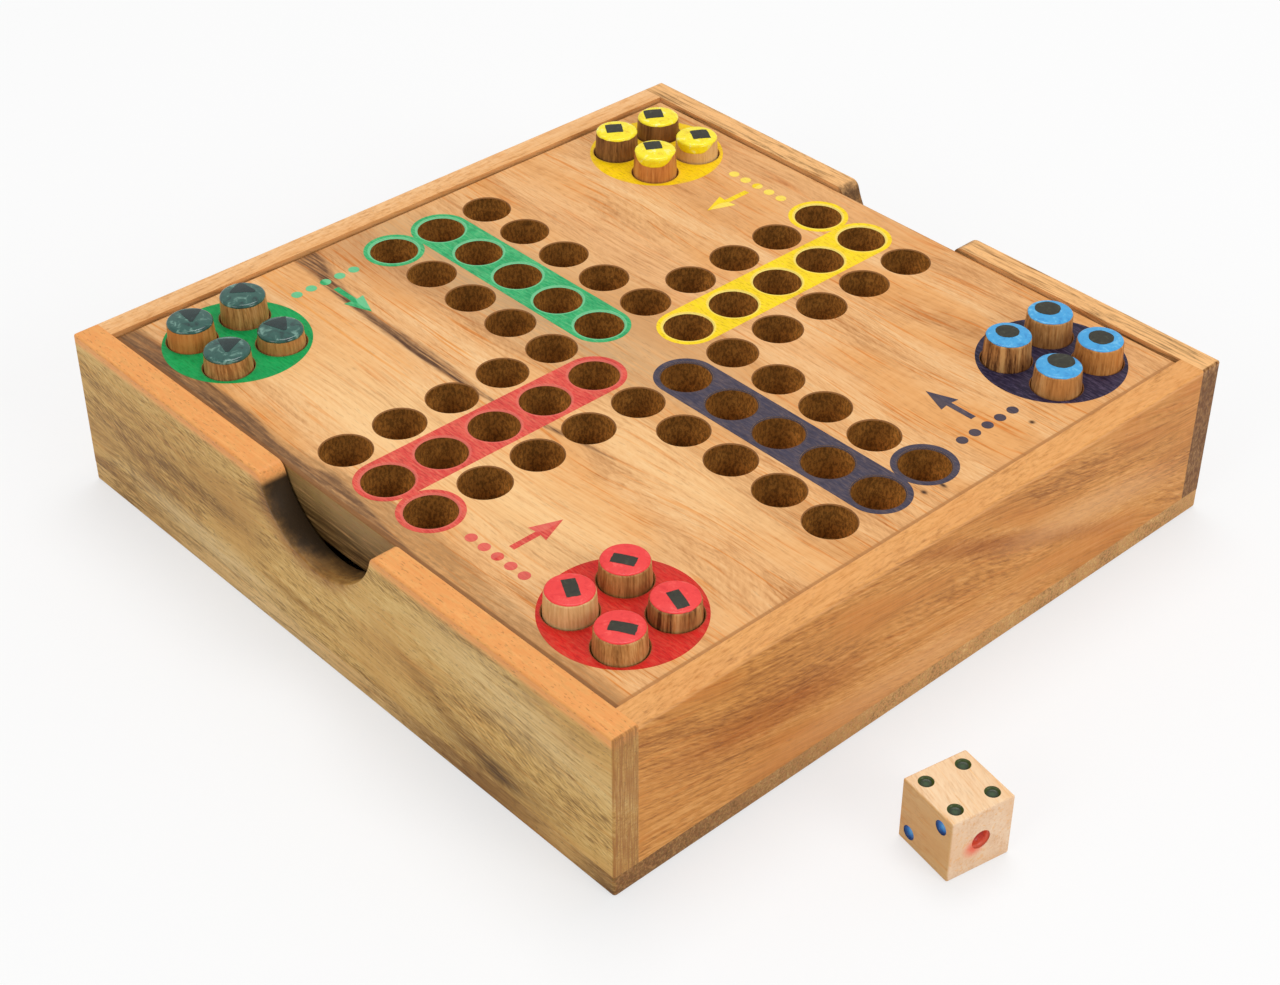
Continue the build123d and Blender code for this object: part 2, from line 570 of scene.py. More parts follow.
@dataclass(frozen=True, kw_only=True)
class Mouths(Stain):
    """The eased mouths of the holes, which take up the paint round them."""

    top: float
    depth: float
    pitch: float
    reach: float
    edge_of_holes: float
    paints: tuple[Colour, ...]

    def lay(self, finish: Finish, colour: Socket, growth: Growth) -> Socket:
        """Colours the mouths: brown in bare wood, painted on the four arms from the right-hand one on.

        Args:
            finish: The material.
            colour: The colour below.
            growth: The wood's grain; not used here.

        Returns:
            The stained colour.
        """
        x, y, height = finish.places
        less_x, less_y = finish.times(x, -1.0), finish.times(y, -1.0)
        arms = ((x, y), (y, less_x), (less_x, less_y), (less_y, x))
        shade = self.colour
        for paint, (ahead, aside) in zip(self.paints, arms):
            first, second = finish.minus(ahead, 5 * self.pitch), finish.minus(aside, self.pitch)
            off = finish.calc("SQRT", finish.plus(finish.times(first, first), finish.times(second, second)))
            strip = finish.times(
                finish.calc("LESS_THAN", finish.calc("ABSOLUTE", aside), self.reach),
                finish.calc("GREATER_THAN", ahead, self.pitch / 2),
            )
            start = finish.calc("LESS_THAN", off, self.reach)
            shade = finish.mix(finish.calc("MAXIMUM", strip, start), shade, paint)
        mouth = finish.times(
            finish.calc("LESS_THAN", height, self.top),
            finish.calc("GREATER_THAN", height, self.top - self.depth),
            finish.calc("LESS_THAN", finish.calc("ABSOLUTE", x), self.edge_of_holes),
            finish.calc("LESS_THAN", finish.calc("ABSOLUTE", y), self.edge_of_holes),
        )
        return finish.mix(finish.times(mouth, self.strength), colour, shade)


@dataclass(frozen=True)
class Wood:
    """How a piece of wood looks: its colours, the run of its grain, its wear and its stains."""

    name: str
    dark: Colour
    body: Colour
    pale: Colour
    warm: Colour
    grain: Axis = Axis.X
    face: Axis = Axis.Y
    slope: float = 0.0
    sway: float = 5.0
    band: float = 12.0
    bands: float = 1.6
    rings: float = 0.25
    fibres: float = 1.0
    flecks: float = 0.6
    fleck_slope: float = 0.3
    ripples: float = 0.2
    dashes: float = 0.4
    lines: float = 0.5
    line_colour: Colour = (0.92, 0.66, 0.38)
    pores: float = 0.35
    pore_length: float = 3.5
    pore_width: float = 0.3
    warmth: float = 0.5
    polish: float = 0.42
    shift: Point = (0.0, 0.0, 0.0)
    stains: tuple[Stain, ...] = ()

    def growth(self, finish: Finish) -> Growth:
        """Lays out the grain: drifting bands, growth rings, fibres, cross ripples and pores.

        Args:
            finish: The material.

        Returns:
            The grain at a point.
        """
        deep = ({Axis.X, Axis.Y, Axis.Z} - {self.grain, self.face}).pop()
        order = (self.grain, self.face, deep)
        along, aside, down = (finish.plus(finish.places[a.value], self.shift[a.value]) for a in order)
        drift = finish.noise(finish.over(finish.join(along, aside, down), (80.0, 24.0, 24.0)), 1.0)
        bent = finish.times(finish.minus(drift, 0.5), 2 * self.sway)
        aside = finish.plus(aside, finish.times(along, self.slope), bent)
        at = finish.join(along, aside, down)
        flame = finish.noise(finish.over(at, (75.0, self.band, self.band)), 2.0, 0.5, 0.5)
        cloud = finish.noise(finish.over(at, (38.0, 13.0, 13.0)), 1.0)
        fibre = finish.noise(finish.over(at, (15.0, 0.7, 0.7)), 3.0, 0.62)
        line = finish.noise(finish.over(at, (22.0, 0.8, 0.8)), 1.0)
        dash = finish.noise(finish.over(at, (4.5, 0.42, 0.42)), 1.0)
        ripple = finish.noise(finish.over(at, (1.5, 4.5, 4.5)), 1.0)
        pore = finish.noise(finish.over(at, (self.pore_length, self.pore_width, self.pore_width)), 1.0)
        leant = finish.join(along, finish.plus(aside, finish.times(along, self.fleck_slope)), down)
        fleck = finish.noise(finish.over(leant, (2.6, 0.62, 0.62)), 2.0, 0.6)
        ring = finish.calc("FRACT", finish.times(flame, 14.0))
        ring = finish.times(finish.times(ring, ring, ring), finish.step(ring, 1.0, 0.9))
        shade = finish.plus(
            0.5,
            finish.times(finish.minus(flame, 0.5), self.bands),
            finish.times(finish.minus(fibre, 0.5), self.fibres),
            finish.times(finish.minus(fleck, 0.5), finish.step(cloud, 0.62, 0.44), self.flecks),
            finish.times(finish.minus(ripple, 0.5), finish.step(cloud, 0.42, 0.6), self.ripples),
            finish.times(finish.minus(dash, 0.5), self.dashes),
            finish.times(ring, -self.rings),
        )
        return Growth(shade, fibre, finish.step(pore, 0.37, 0.28), cloud, finish.step(line, 0.57, 0.7))

    def colour(self, finish: Finish, growth: Growth) -> Socket:
        """The wood's colour with its stains.

        Args:
            finish: The material.
            growth: The wood's grain.

        Returns:
            The colour.
        """
        colour = finish.ramp(growth.tone, ((0.12, self.dark), (0.5, self.body), (0.88, self.pale)))
        glow = finish.times(finish.step(growth.cloud, 0.48, 0.68), self.warmth)
        colour = finish.mix(glow, colour, self.warm)
        colour = finish.mix(finish.times(growth.line, self.lines), colour, self.line_colour, Blend.TINT)
        for stain in self.stains:
            colour = stain.lay(finish, colour, growth)
        pores = finish.times(growth.pore, self.pores)
        return finish.mix(pores, colour, tuple(0.22 * value for value in self.dark))

    def dress(self, centre: Point = (0.0, 0.0, 0.0), turn: float = 0.0) -> bpy.types.Material:
        """Makes the wood's material.

        Args:
            centre: Where its pattern is centred, in mm.
            turn: How far the pattern is turned about Z, in degrees.

        Returns:
            The material.
        """
        finish = Finish(self.name, centre, turn)
        growth = self.growth(finish)
        finish.give(
            Base_Color=self.colour(finish, growth),
            Roughness=finish.plus(self.polish, finish.times(finish.minus(growth.fibre, 0.5), -0.3)),
            Specular_IOR_Level=0.16,
        )
        height = finish.minus(finish.times(growth.fibre, 0.6), finish.times(growth.pore, 0.8))
        finish.relief(height, 0.12, 0.5)
        return finish.material


@dataclass(frozen=True)
class Print:
    """Screen-printed paint on the board, which lets the wood's grain through."""

    name: str
    paint: Colour
    rim: Colour
    thin: Colour
    wear: float = 0.3
    rim_strength: float = 0.8
    rim_width: float = 0.75
    rim_blur: float = 0.25

    def dress(self, wood: Wood, pitch: float, hole: float) -> bpy.types.Material:
        """Makes the paint's material.

        Args:
            wood: The board's wood.
            pitch: From one hole of the track to the next, in mm.
            hole: A hole's radius, in mm.

        Returns:
            The material.
        """
        finish = Finish(self.name)
        growth = wood.growth(finish)
        across, along, _ = finish.places

        def off_hole(place: Socket) -> Socket:
            """How far a place is from the nearest hole's middle along one axis."""
            steps = finish.calc("ROUND", finish.times(place, 1 / pitch))
            return finish.minus(place, finish.times(steps, pitch))

        first, second = off_hole(across), off_hole(along)
        off = finish.calc("SQRT", finish.plus(finish.times(first, first), finish.times(second, second)))
        blot = finish.noise(finish.over(finish.point, (7.0, 5.0, 5.0)), 3.0, 0.6)
        speck = finish.noise(finish.over(finish.point, (2.2, 0.5, 0.5)), 2.0, 0.7)
        rubbed = finish.step(finish.plus(growth.fibre, finish.times(blot, 0.35)), 0.58, 0.82)
        worn = finish.plus(
            finish.times(rubbed, self.wear),
            finish.times(growth.pore, 0.3),
            finish.times(finish.step(speck, 0.5, 0.68), 0.5),
        )
        colour = finish.mix(worn, self.paint, self.thin)
        colour = finish.mix(finish.step(blot, 0.62, 0.3), colour, (0.88, 0.86, 0.86), Blend.TINT)
        colour = finish.mix(finish.step(speck, 0.5, 0.34), colour, (0.77, 0.73, 0.73), Blend.TINT)
        # The ring round each hole: worn, thinner paint at the hole's eased mouth; on the strips its paler
        # colour is partly a painted highlight of that edge catching the light.
        edge = hole + self.rim_width
        ring = finish.times(finish.step(off, edge, edge - self.rim_blur), self.rim_strength)
        finish.give(
            Base_Color=finish.mix(ring, colour, self.rim),
            Roughness=finish.plus(0.36, finish.times(growth.fibre, 0.16)),
            Specular_IOR_Level=0.16,
        )
        finish.relief(growth.fibre, 0.05, 0.35)
        return finish.material


@dataclass(frozen=True)
class Enamel:
    """Thick glossy paint, brushed or dipped, with a cloudy depth; its pale patches are partly thin places and
    partly painted reflection.
    """

    name: str
    paint: Colour
    deep: Colour
    light: Colour
    cloud: float = 3.0
    clouds: float = 0.8
    gloss: float = 0.16
    coat: float = 0.5

    def dress(self) -> bpy.types.Material:
        """Makes the enamel's material.

        Returns:
            The material.
        """
        finish = Finish(self.name)
        broad = finish.noise(finish.over(finish.point, (self.cloud,) * 3), 3.0, 0.6, 0.6)
        fine = finish.noise(finish.over(finish.point, (0.7, 0.7, 0.7)), 2.0)
        colour = finish.mix(finish.times(finish.step(broad, 0.5, 0.26), self.clouds), self.paint, self.deep)
        # Pale patches: partly thin paint, partly painted reflection.
        colour = finish.mix(finish.times(finish.step(broad, 0.54, 0.72), self.clouds), colour, self.light)
        finish.give(
            Base_Color=colour,
            Roughness=finish.plus(self.gloss, finish.times(fine, 0.14)),
            Specular_IOR_Level=0.3,
            Coat_Weight=self.coat,
            Coat_Roughness=0.1,
        )
        finish.relief(finish.plus(finish.times(broad, 0.7), finish.times(fine, 0.3)), 0.12, 0.5)
        return finish.material


@dataclass(frozen=True)
class PipPaint:
    """The paint in a drilled pip, with painted shade and light by how far out it lies: one colour in the
    middle, another up its wall.
    """

    name: str
    rim: Colour
    paint: Colour
    centre_tone: Colour

    def dress(self) -> bpy.types.Material:
        """Makes the paint's material.

        Returns:
            The material.
        """
        finish = Finish(self.name)
        reach = finish.add("ShaderNodeAttribute", attribute_name="reach").outputs["Fac"]
        blot = finish.noise(finish.over(finish.point, (0.9, 0.9, 0.9)), 3.0, 0.6)
        place = finish.plus(reach, finish.times(finish.minus(blot, 0.5), 0.35))
        finish.give(
            # Painted shade and light across the pip by how far out it lies: one colour in the middle, another
            # part-way, another up the wall.
            Base_Color=finish.ramp(place, ((0.15, self.centre_tone), (0.62, self.paint), (0.92, self.rim))),
            Roughness=finish.plus(0.3, finish.times(blot, 0.2)),
            Specular_IOR_Level=0.35,
            Coat_Weight=0.15,
            Coat_Roughness=0.15,
        )
        finish.relief(blot, 0.05, 0.4)
        return finish.material


class Size(Enum):
    """What kind of value an input of a tree takes."""

    NUMBER = "NodeSocketFloat"
    COUNT = "NodeSocketInt"
    PLACE = "NodeSocketVector"
    FINISH = "NodeSocketMaterial"
    MESH = "NodeSocketGeometry"


class Former(Wiring):
    """A tree of geometry nodes that forms one kind of small piece from named sizes."""

    def __init__(self, name: str, sizes: dict[str, Size]) -> None:
        """Starts the tree.

        Args:
            name: The tree's name.
            sizes: Its inputs by name.
        """
        super().__init__(bpy.data.node_groups.new(name, "GeometryNodeTree"))
        self.keys = {}
        for label, kind in sizes.items():
            item = self.tree.interface.new_socket(name=label, in_out="INPUT", socket_type=kind.value)
            self.keys[label] = item.identifier
        self.tree.interface.new_socket(name="Geometry", in_out="OUTPUT", socket_type=Size.MESH.value)
        self.given = self.add("NodeGroupInput").outputs

    def sheet(self, rows: int, columns: int) -> tuple[Socket, Socket, Socket]:
        """A flat grid and where each of its points is, from 0 to 1 each way.

        Args:
            rows: Its points along X.
            columns: Its points along Y.

        Returns:
            The grid, the place along X and the place along Y.
        """
        feeds = {"Size X": 1.0, "Size Y": 1.0, "Vertices X": rows, "Vertices Y": columns}
        grid = self.add("GeometryNodeMeshGrid", feeds).outputs["Mesh"]
        x, y, _ = self.split(self.add("GeometryNodeInputPosition").outputs[0])
        return grid, self.plus(x, 0.5), self.plus(y, 0.5)

    def moved(self, geometry: Socket, place: Socket) -> Socket:
        """Geometry with its points in new places."""
        return self.add("GeometryNodeSetPosition", {"Geometry": geometry, "Position": place}).outputs[0]

    def folded(self, out: Socket, rows: int) -> tuple[Socket, Socket]:
        """A sheet folded back on itself, so that its two halves make a closed skin.

        Args:
            out: The place across the sheet, from 0 to 1.
            rows: The sheet's points that way, an even number.

        Returns:
            How far out from the middle a point lies, from 0 to 1, and 1 where it is on the back.
        """
        reach = self.minus(1.0, self.calc("ABSOLUTE", self.minus(self.times(out, 2.0), 1.0)))
        return self.times(reach, (rows - 1) / (rows - 2)), self.calc("GREATER_THAN", out, 0.5)

    def metres(self, place: Socket) -> Socket:
        """A place given in mm from the tree's Place input, in metres."""
        feeds = {0: place, 1: (MM, MM, MM), 2: self.given["Place"]}
        return self.add("ShaderNodeVectorMath", feeds, operation="MULTIPLY_ADD").outputs[0]

    def merged(self, geometry: Socket) -> Socket:
        """Geometry with its seams and poles closed."""
        return self.add("GeometryNodeMergeByDistance", {"Geometry": geometry, "Distance": 1e-6}).outputs[0]

    def close(self, geometry: Socket, smooth: bool = True) -> None:
        """Ends the tree with real mesh in its finish.

        Args:
            geometry: What the tree has formed.
            smooth: Whether its faces are shaded smooth.
        """
        shaded = self.add("GeometryNodeSetShadeSmooth", {"Geometry": geometry, "Shade Smooth": smooth})
        real = self.add("GeometryNodeRealizeInstances", {"Geometry": shaded.outputs[0]})
        feeds = {"Geometry": real.outputs[0], "Material": self.given["Finish"]}
        dressed = self.add("GeometryNodeSetMaterial", feeds)
        self.add("NodeGroupOutput", {"Geometry": dressed.outputs[0]})

    def form(
        self, name: str, values: dict[str, Feed], mesh: bpy.types.Mesh | None = None
    ) -> bpy.types.Object:
        """Forms one piece as a plain mesh.

        Args:
            name: The piece's name.
            values: The tree's inputs by name.
            mesh: What the tree starts from, if it takes a mesh.

        Returns:
            The piece.
        """
        piece = bpy.data.objects.new(name, mesh or bpy.data.meshes.new(name + "_start"))
        bpy.context.scene.collection.objects.link(piece)
        modifier = piece.modifiers.new("form", "NODES")
        modifier.node_group = self.tree
        for label, value in values.items():
            modifier[self.keys[label]] = value
        graph = bpy.context.evaluated_depsgraph_get()
        formed = bpy.data.meshes.new_from_object(piece.evaluated_get(graph), depsgraph=graph)
        piece.modifiers.clear()
        formed.name = name
        piece.data = formed
        return piece


def enamel_cap() -> Former:
    """The tree of a peg's enamel: a thin closed skin over its top, which ends in a ragged edge.

    Returns:
        The tree.
    """
    rows, columns, sunk, flat_share = 30, 57, 0.03, 0.4
    names = ("Radius", "Ease", "Dome", "Flare", "Skin", "Spill", "Ragged", "Run", "Heading", "Seed")
    sizes = {name: Size.NUMBER for name in names}
    tree = Former("enamel_cap", sizes | {"Place": Size.PLACE, "Finish": Size.FINISH})
    given = tree.given
    grid, out, round_share = tree.sheet(rows, columns)
    angle = tree.times(round_share, tau)
    turn_x, turn_y = tree.calc("COSINE", angle), tree.calc("SINE", angle)
    reach, back = tree.folded(out, rows)
    lift = tree.minus(given["Skin"], tree.times(back, tree.plus(given["Skin"], sunk)))

    def part(start: float, end: float) -> Socket:
        """How far along one part of the profile a point is, from 0 to 1."""
        feeds = {"Value": reach, "From Min": start, "From Max": end}
        return tree.add("ShaderNodeMapRange", feeds).outputs[0]

    rough = tree.noise(tree.join(tree.times(turn_x, 2.2), tree.times(turn_y, 2.2), given["Seed"]), 3.0, 0.6)
    towards = tree.calc("COSINE", tree.minus(angle, given["Heading"]))
    reached = tree.plus(
        given["Spill"],
        tree.times(tree.minus(rough, 0.5), given["Ragged"], 2.0),
        tree.times(tree.step(towards, 0.35, 0.95), given["Run"]),
    )
    path = tree.times(part(flat_share, 1.0), tree.calc("MAXIMUM", reached, 0.15))
    bend = tree.calc("MINIMUM", tree.calc("DIVIDE", path, given["Ease"]), pi / 2)
    drop = tree.calc("MAXIMUM", tree.minus(path, tree.times(given["Ease"], pi / 2)), 0.0)
    flat = part(0.0, flat_share)
    corner = tree.plus(given["Ease"], lift)
    radius = tree.plus(
        tree.times(tree.minus(given["Radius"], given["Ease"]), flat),
        tree.times(corner, tree.calc("SINE", bend)),
        tree.times(drop, given["Flare"]),
    )
    height = tree.plus(
        tree.times(corner, tree.calc("COSINE", bend)),
        tree.times(given["Ease"], -1.0),
        tree.times(given["Dome"], flat, flat, -1.0),
        tree.times(drop, -1.0),
    )
    place = tree.join(tree.times(radius, turn_x), tree.times(radius, turn_y), height)
    tree.close(tree.merged(tree.moved(grid, tree.metres(place))))
    return tree


def painted_mark() -> Former:
    """The tree of a mark on a peg's top: a closed slip of paint from square to round or pointed.

    Returns:
        The tree.
    """
    names = ("Length", "Width", "Roundness", "Taper", "Turn", "Aside X", "Aside Y", "Dome", "Flat", "Seed")
    sizes = {name: Size.NUMBER for name in names}
    tree = Former("painted_mark", sizes | {"Place": Size.PLACE, "Finish": Size.FINISH})
    given = tree.given
    grid, first, second = tree.sheet(15, 15)
    x, y = tree.minus(tree.times(first, 2.0), 1.0), tree.minus(tree.times(second, 2.0), 1.0)

    def rounded(value: Socket, other: Socket) -> Socket:
        """A place in the square drawn in towards a disc by the mark's roundness.

        Args:
            value: The place along one side, from -1 to 1.
            other: The place along the other side.

        Returns:
            The drawn place along the first side.
        """
        squeeze = tree.calc("SQRT", tree.minus(1.0, tree.times(other, other, 0.5)))
        drawn = tree.plus(1.0, tree.times(tree.minus(squeeze, 1.0), given["Roundness"]))
        return tree.times(value, drawn)

    along, aside = rounded(x, y), rounded(y, x)
    aside = tree.times(aside, tree.minus(1.0, tree.times(given["Taper"], tree.plus(along, 1.0), 0.5)))
    wander = tree.noise(tree.join(tree.times(along, 1.3), tree.times(aside, 1.3), given["Seed"]), 2.0)
    wander = tree.plus(1.0, tree.times(wander, 0.2))
    along = tree.times(along, given["Length"], wander, 0.5)
    aside = tree.times(aside, given["Width"], wander, 0.5)
    turn_x, turn_y = tree.calc("COSINE", given["Turn"]), tree.calc("SINE", given["Turn"])
    px = tree.plus(given["Aside X"], tree.minus(tree.times(along, turn_x), tree.times(aside, turn_y)))
    py = tree.plus(given["Aside Y"], tree.times(along, turn_y), tree.times(aside, turn_x))
    off = tree.calc("DIVIDE", tree.plus(tree.times(px, px), tree.times(py, py)), given["Flat"])
    sag = tree.times(tree.calc("DIVIDE", off, given["Flat"]), given["Dome"], -1.0)
    sheet = tree.moved(grid, tree.metres(tree.join(px, py, sag)))
    feeds = {
        "Mesh": sheet, "Offset": (0.0, 0.0, 1.0), "Offset Scale": MARK_THICKNESS * MM, "Individual": False,
    }
    raised = tree.add("GeometryNodeExtrudeMesh", feeds, mode="FACES").outputs["Mesh"]
    under = tree.add("GeometryNodeFlipFaces", {"Mesh": sheet}).outputs[0]
    both = tree.add("GeometryNodeJoinGeometry")
    tree.feed(both.inputs[0], raised)
    tree.feed(both.inputs[0], under)
    tree.close(tree.merged(both.outputs[0]), smooth=False)
    return tree


def start_row() -> Former:
    """The tree of a start place's row of dots, in a line from one end to the other.

    Returns:
        The tree.
    """
    sizes = {"Dots": Size.COUNT, "Radius": Size.NUMBER, "Depth": Size.NUMBER}
    tree = Former("start_row", sizes | {"Place": Size.PLACE, "Gap": Size.PLACE, "Finish": Size.FINISH})
    given = tree.given
    line = tree.add("GeometryNodeMeshLine", {"Count": given["Dots"], "Start Location": given["Place"]})
    tree.feed(line.inputs["Offset"], given["Gap"])
    disc = {"Vertices": 20, "Radius": given["Radius"], "Depth": given["Depth"]}
    dot = tree.add("GeometryNodeMeshCylinder", disc).outputs["Mesh"]
    placed = tree.add("GeometryNodeInstanceOnPoints", {"Points": line.outputs[0], "Instance": dot})
    tree.close(placed.outputs[0], smooth=False)
    return tree


def pip_paint() -> Former:
    """The tree of the paint in a die's pips: a shallow closed dish set in each pit, facing out.

    Returns:
        The tree.
    """
    rows, columns = 20, 33
    sizes = {"Pits": Size.MESH, "Radius": Size.NUMBER, "Depth": Size.NUMBER, "Fill": Size.NUMBER}
    tree = Former("pip_paint", sizes | {"Rise": Size.NUMBER, "Place": Size.PLACE, "Finish": Size.FINISH})
    given = tree.given
    grid, out, round_share = tree.sheet(rows, columns)
    angle = tree.times(round_share, tau)
    reach, under = tree.folded(out, rows)
    wall = tree.calc("POWER", reach, 7.0)
    crown = tree.plus(given["Fill"], tree.times(given["Rise"], wall))
    height = tree.minus(tree.times(crown, tree.minus(1.0, under)), tree.minus(given["Depth"], 0.01))
    radius = tree.times(reach, given["Radius"])
    spot = tree.join(
        tree.times(radius, tree.calc("COSINE", angle)), tree.times(radius, tree.calc("SINE", angle)), height
    )
    told = {"Geometry": grid, "Name": "reach", "Value": tree.calc("MINIMUM", reach, 1.0)}
    keeper = tree.add("GeometryNodeStoreNamedAttribute", told, data_type="FLOAT", domain="POINT")
    dish = tree.merged(tree.moved(keeper.outputs[0], tree.metres(spot)))
    facing = tree.add("GeometryNodeInputNamedAttribute", {"Name": "facing"}, data_type="FLOAT_VECTOR")
    turned = tree.add("FunctionNodeAlignRotationToVector", {"Vector": facing.outputs[0]}, axis="Z")
    feeds = {"Points": given["Pits"], "Instance": dish, "Rotation": turned.outputs[0]}
    tree.close(tree.add("GeometryNodeInstanceOnPoints", feeds).outputs[0])
    return tree


def arc(centre: Pair, radius: float, start: float, end: float, steps: int = 48) -> list[Pair]:
    """Points on an arc, both ends included.

    Args:
        centre: The arc's centre.
        radius: Its radius.
        start: The angle it starts at, in degrees.
        end: The angle it ends at.
        steps: How many pieces it has.

    Returns:
        The points.
    """
    angles = [radians(start + (end - start) * i / steps) for i in range(steps + 1)]
    return [(centre[0] + radius * cos(a), centre[1] + radius * sin(a)) for a in angles]


def ring(centre: Pair, radius: float, steps: int = 64) -> list[Pair]:
    """Points all round a circle."""
    return arc(centre, radius, 0.0, 360.0, steps)[:-1]


def film(name: str, outlines: list[list[Pair]], low: float, high: float) -> bpy.types.Object:
    """A closed film of paint between two heights.

    Args:
        name: The piece's name.
        outlines: Its outlines in mm. Those inside another are holes.
        low: The height of its underside, in mm.
        high: The height of its top.

    Returns:
        The piece.
    """
    curve = bpy.data.curves.new(name + "_outline", "CURVE")
    curve.dimensions = "2D"
    curve.fill_mode = "BOTH"
    curve.extrude = (high - low) / 2 * MM
    for outline in outlines:
        spline = curve.splines.new("POLY")
        spline.points.add(len(outline) - 1)
        for point, (x, y) in zip(spline.points, outline):
            point.co = (x * MM, y * MM, 0.0, 1.0)
        spline.use_cyclic_u = True
    carrier = bpy.data.objects.new(name + "_outline", curve)
    bpy.context.scene.collection.objects.link(carrier)
    graph = bpy.context.evaluated_depsgraph_get()
    mesh = bpy.data.meshes.new_from_object(carrier.evaluated_get(graph), depsgraph=graph)
    bpy.data.objects.remove(carrier)
    mesh.name = name
    mesh.transform(Matrix.Translation((0.0, 0.0, (high + low) / 2 * MM)))
    build = bmesh.new()
    build.from_mesh(mesh)
    bmesh.ops.remove_doubles(build, verts=build.verts, dist=1e-7)
    bmesh.ops.recalc_face_normals(build, faces=build.faces)
    build.to_mesh(mesh)
    build.free()
    piece = bpy.data.objects.new(name, mesh)
    bpy.context.scene.collection.objects.link(piece)
    return piece


def fit_out(
    piece: bpy.types.Object, body: str, material: bpy.types.Material | None = None
) -> None:
    """Puts a new piece on its body.

    Args:
        piece: The piece.
        body: The body that it rides on.
        material: Its material, if it has none yet.
    """
    if material:
        piece.data.materials.clear()
        piece.data.materials.append(material)
    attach(piece, body)


def recoat(nodes: list[str], material: bpy.types.Material) -> None:
    """Gives solids of the frame a material.

    Args:
        nodes: Their names.
        material: The material.
    """
    for name in nodes:
        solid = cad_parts[name]
        for place in solid.material_slots:
            place.material = material
        if not solid.material_slots:
            solid.data.materials.append(material)


@dataclass
class Viewpoint:
    """Where the picture is taken from."""

    place: Point = (335.7, -310.0, 344.5)
    azimuth: float = 47.407
    elevation: float = 36.979
    lens: float = 65.75
    shift: Pair = (0.0018, -0.0015)

    def build(self) -> None:
        """Puts up the camera."""
        camera = bpy.data.cameras.new("viewpoint")
        camera.sensor_width = 36.0
        camera.sensor_fit = "HORIZONTAL"
        camera.lens = self.lens
        camera.shift_x, camera.shift_y = self.shift
        camera.clip_start, camera.clip_end = 0.01, 50.0
        azimuth, elevation = radians(self.azimuth), radians(self.elevation)
        ahead = Vector((-sin(azimuth) * cos(elevation), cos(azimuth) * cos(elevation), -sin(elevation)))
        right = ahead.cross(Vector((0.0, 0.0, 1.0))).normalized()
        up = right.cross(ahead)
        turned = Matrix((right, up, -ahead)).transposed().to_4x4()
        holder = bpy.data.objects.new("viewpoint", camera)
        holder.matrix_world = Matrix.Translation(Vector(self.place) * MM) @ turned
        bpy.context.scene.collection.objects.link(holder)
        bpy.context.scene.camera = holder


@dataclass
class Lamp:
    """A soft lamp: where it hangs in m, how wide it is and how strong."""

    name: str
    place: Point
    width: float
    power: float


@dataclass
class Studio:
    """The pale floor, the white surroundings and the soft lamps."""

    floor_reach: float = 6.0
    floor_grey: float = 0.86
    floor_seen: float = 0.62
    floor_mirrored: float = 0.3
    surroundings: float = 0.6
    mirrored: float = 0.6
    lamps: list[Lamp] = field(
        default_factory=lambda: [
            Lamp("over_lamp", (-0.25, 0.35, 1.5), 0.9, 9.0),
            Lamp("side_lamp", (1.3, 0.15, 0.75), 0.7, 5.2),
            Lamp("front_lamp", (0.2, -1.4, 0.8), 0.7, 3.0),
        ]
    )

    def surround(self) -> None:
        """Makes the world white to the eye and soft as a light."""
        world = bpy.data.worlds.new("surroundings")
        bpy.context.scene.world = world
        world.use_nodes = True
        wiring = Wiring(world.node_tree)
        wiring.tree.nodes.clear()
        rays = wiring.add("ShaderNodeLightPath").outputs
        seen = wiring.calc("MAXIMUM", rays["Is Camera Ray"], rays["Is Transmission Ray"])
        shown = wiring.calc("MAXIMUM", seen, wiring.times(rays["Is Glossy Ray"], self.mirrored))
        strength = wiring.calc("MAXIMUM", shown, self.surroundings)
        light = wiring.add("ShaderNodeBackground", {"Color": (1.0, 1.0, 1.0), "Strength": strength})
        wiring.add("ShaderNodeOutputWorld", {"Surface": light.outputs[0]})

    def lay_floor(self) -> None:
        """Lays the floor, which looks white and keeps the game's shadow."""
        reach = self.floor_reach
        corners = [(-reach, -reach, 0.0), (reach, -reach, 0.0), (reach, reach, 0.0), (-reach, reach, 0.0)]
        mesh = bpy.data.meshes.new("floor")
        mesh.from_pydata(corners, [], [(0, 1, 2, 3)])
        finish = bpy.data.materials.new("floor_white")
        finish.use_nodes = True
        wiring = Wiring(finish.node_tree)
        wiring.tree.nodes.clear()
        matt = wiring.add("ShaderNodeBsdfDiffuse", {"Color": (self.floor_grey,) * 3})
        bright = wiring.add("ShaderNodeEmission", {"Color": (1.0, 1.0, 1.0), "Strength": 1.0})
        rays = wiring.add("ShaderNodeLightPath").outputs
        seen = wiring.calc("MAXIMUM", rays["Is Camera Ray"], rays["Is Transmission Ray"])
        mirrored = wiring.times(rays["Is Glossy Ray"], self.floor_mirrored)
        share = wiring.plus(wiring.times(seen, self.floor_seen), mirrored)
        both = wiring.add("ShaderNodeMixShader", {0: share, 1: matt.outputs[0], 2: bright.outputs[0]})
        wiring.add("ShaderNodeOutputMaterial", {"Surface": both.outputs[0]})
        mesh.materials.append(finish)
        floor = bpy.data.objects.new("floor", mesh)
        bpy.context.scene.collection.objects.link(floor)

    def build(self) -> None:
        """Sets up the whole studio."""
        bpy.context.scene.view_settings.view_transform = "Standard"
        self.surround()
        self.lay_floor()
        for lamp in self.lamps:
            light = bpy.data.lights.new(lamp.name, "AREA")
            light.shape = "DISK"
            light.size = lamp.width
            light.energy = lamp.power
            holder = bpy.data.objects.new(lamp.name, light)
            holder.location = lamp.place
            holder.rotation_euler = (-Vector(lamp.place)).to_track_quat("-Z", "Y").to_euler()
            bpy.context.scene.collection.objects.link(holder)


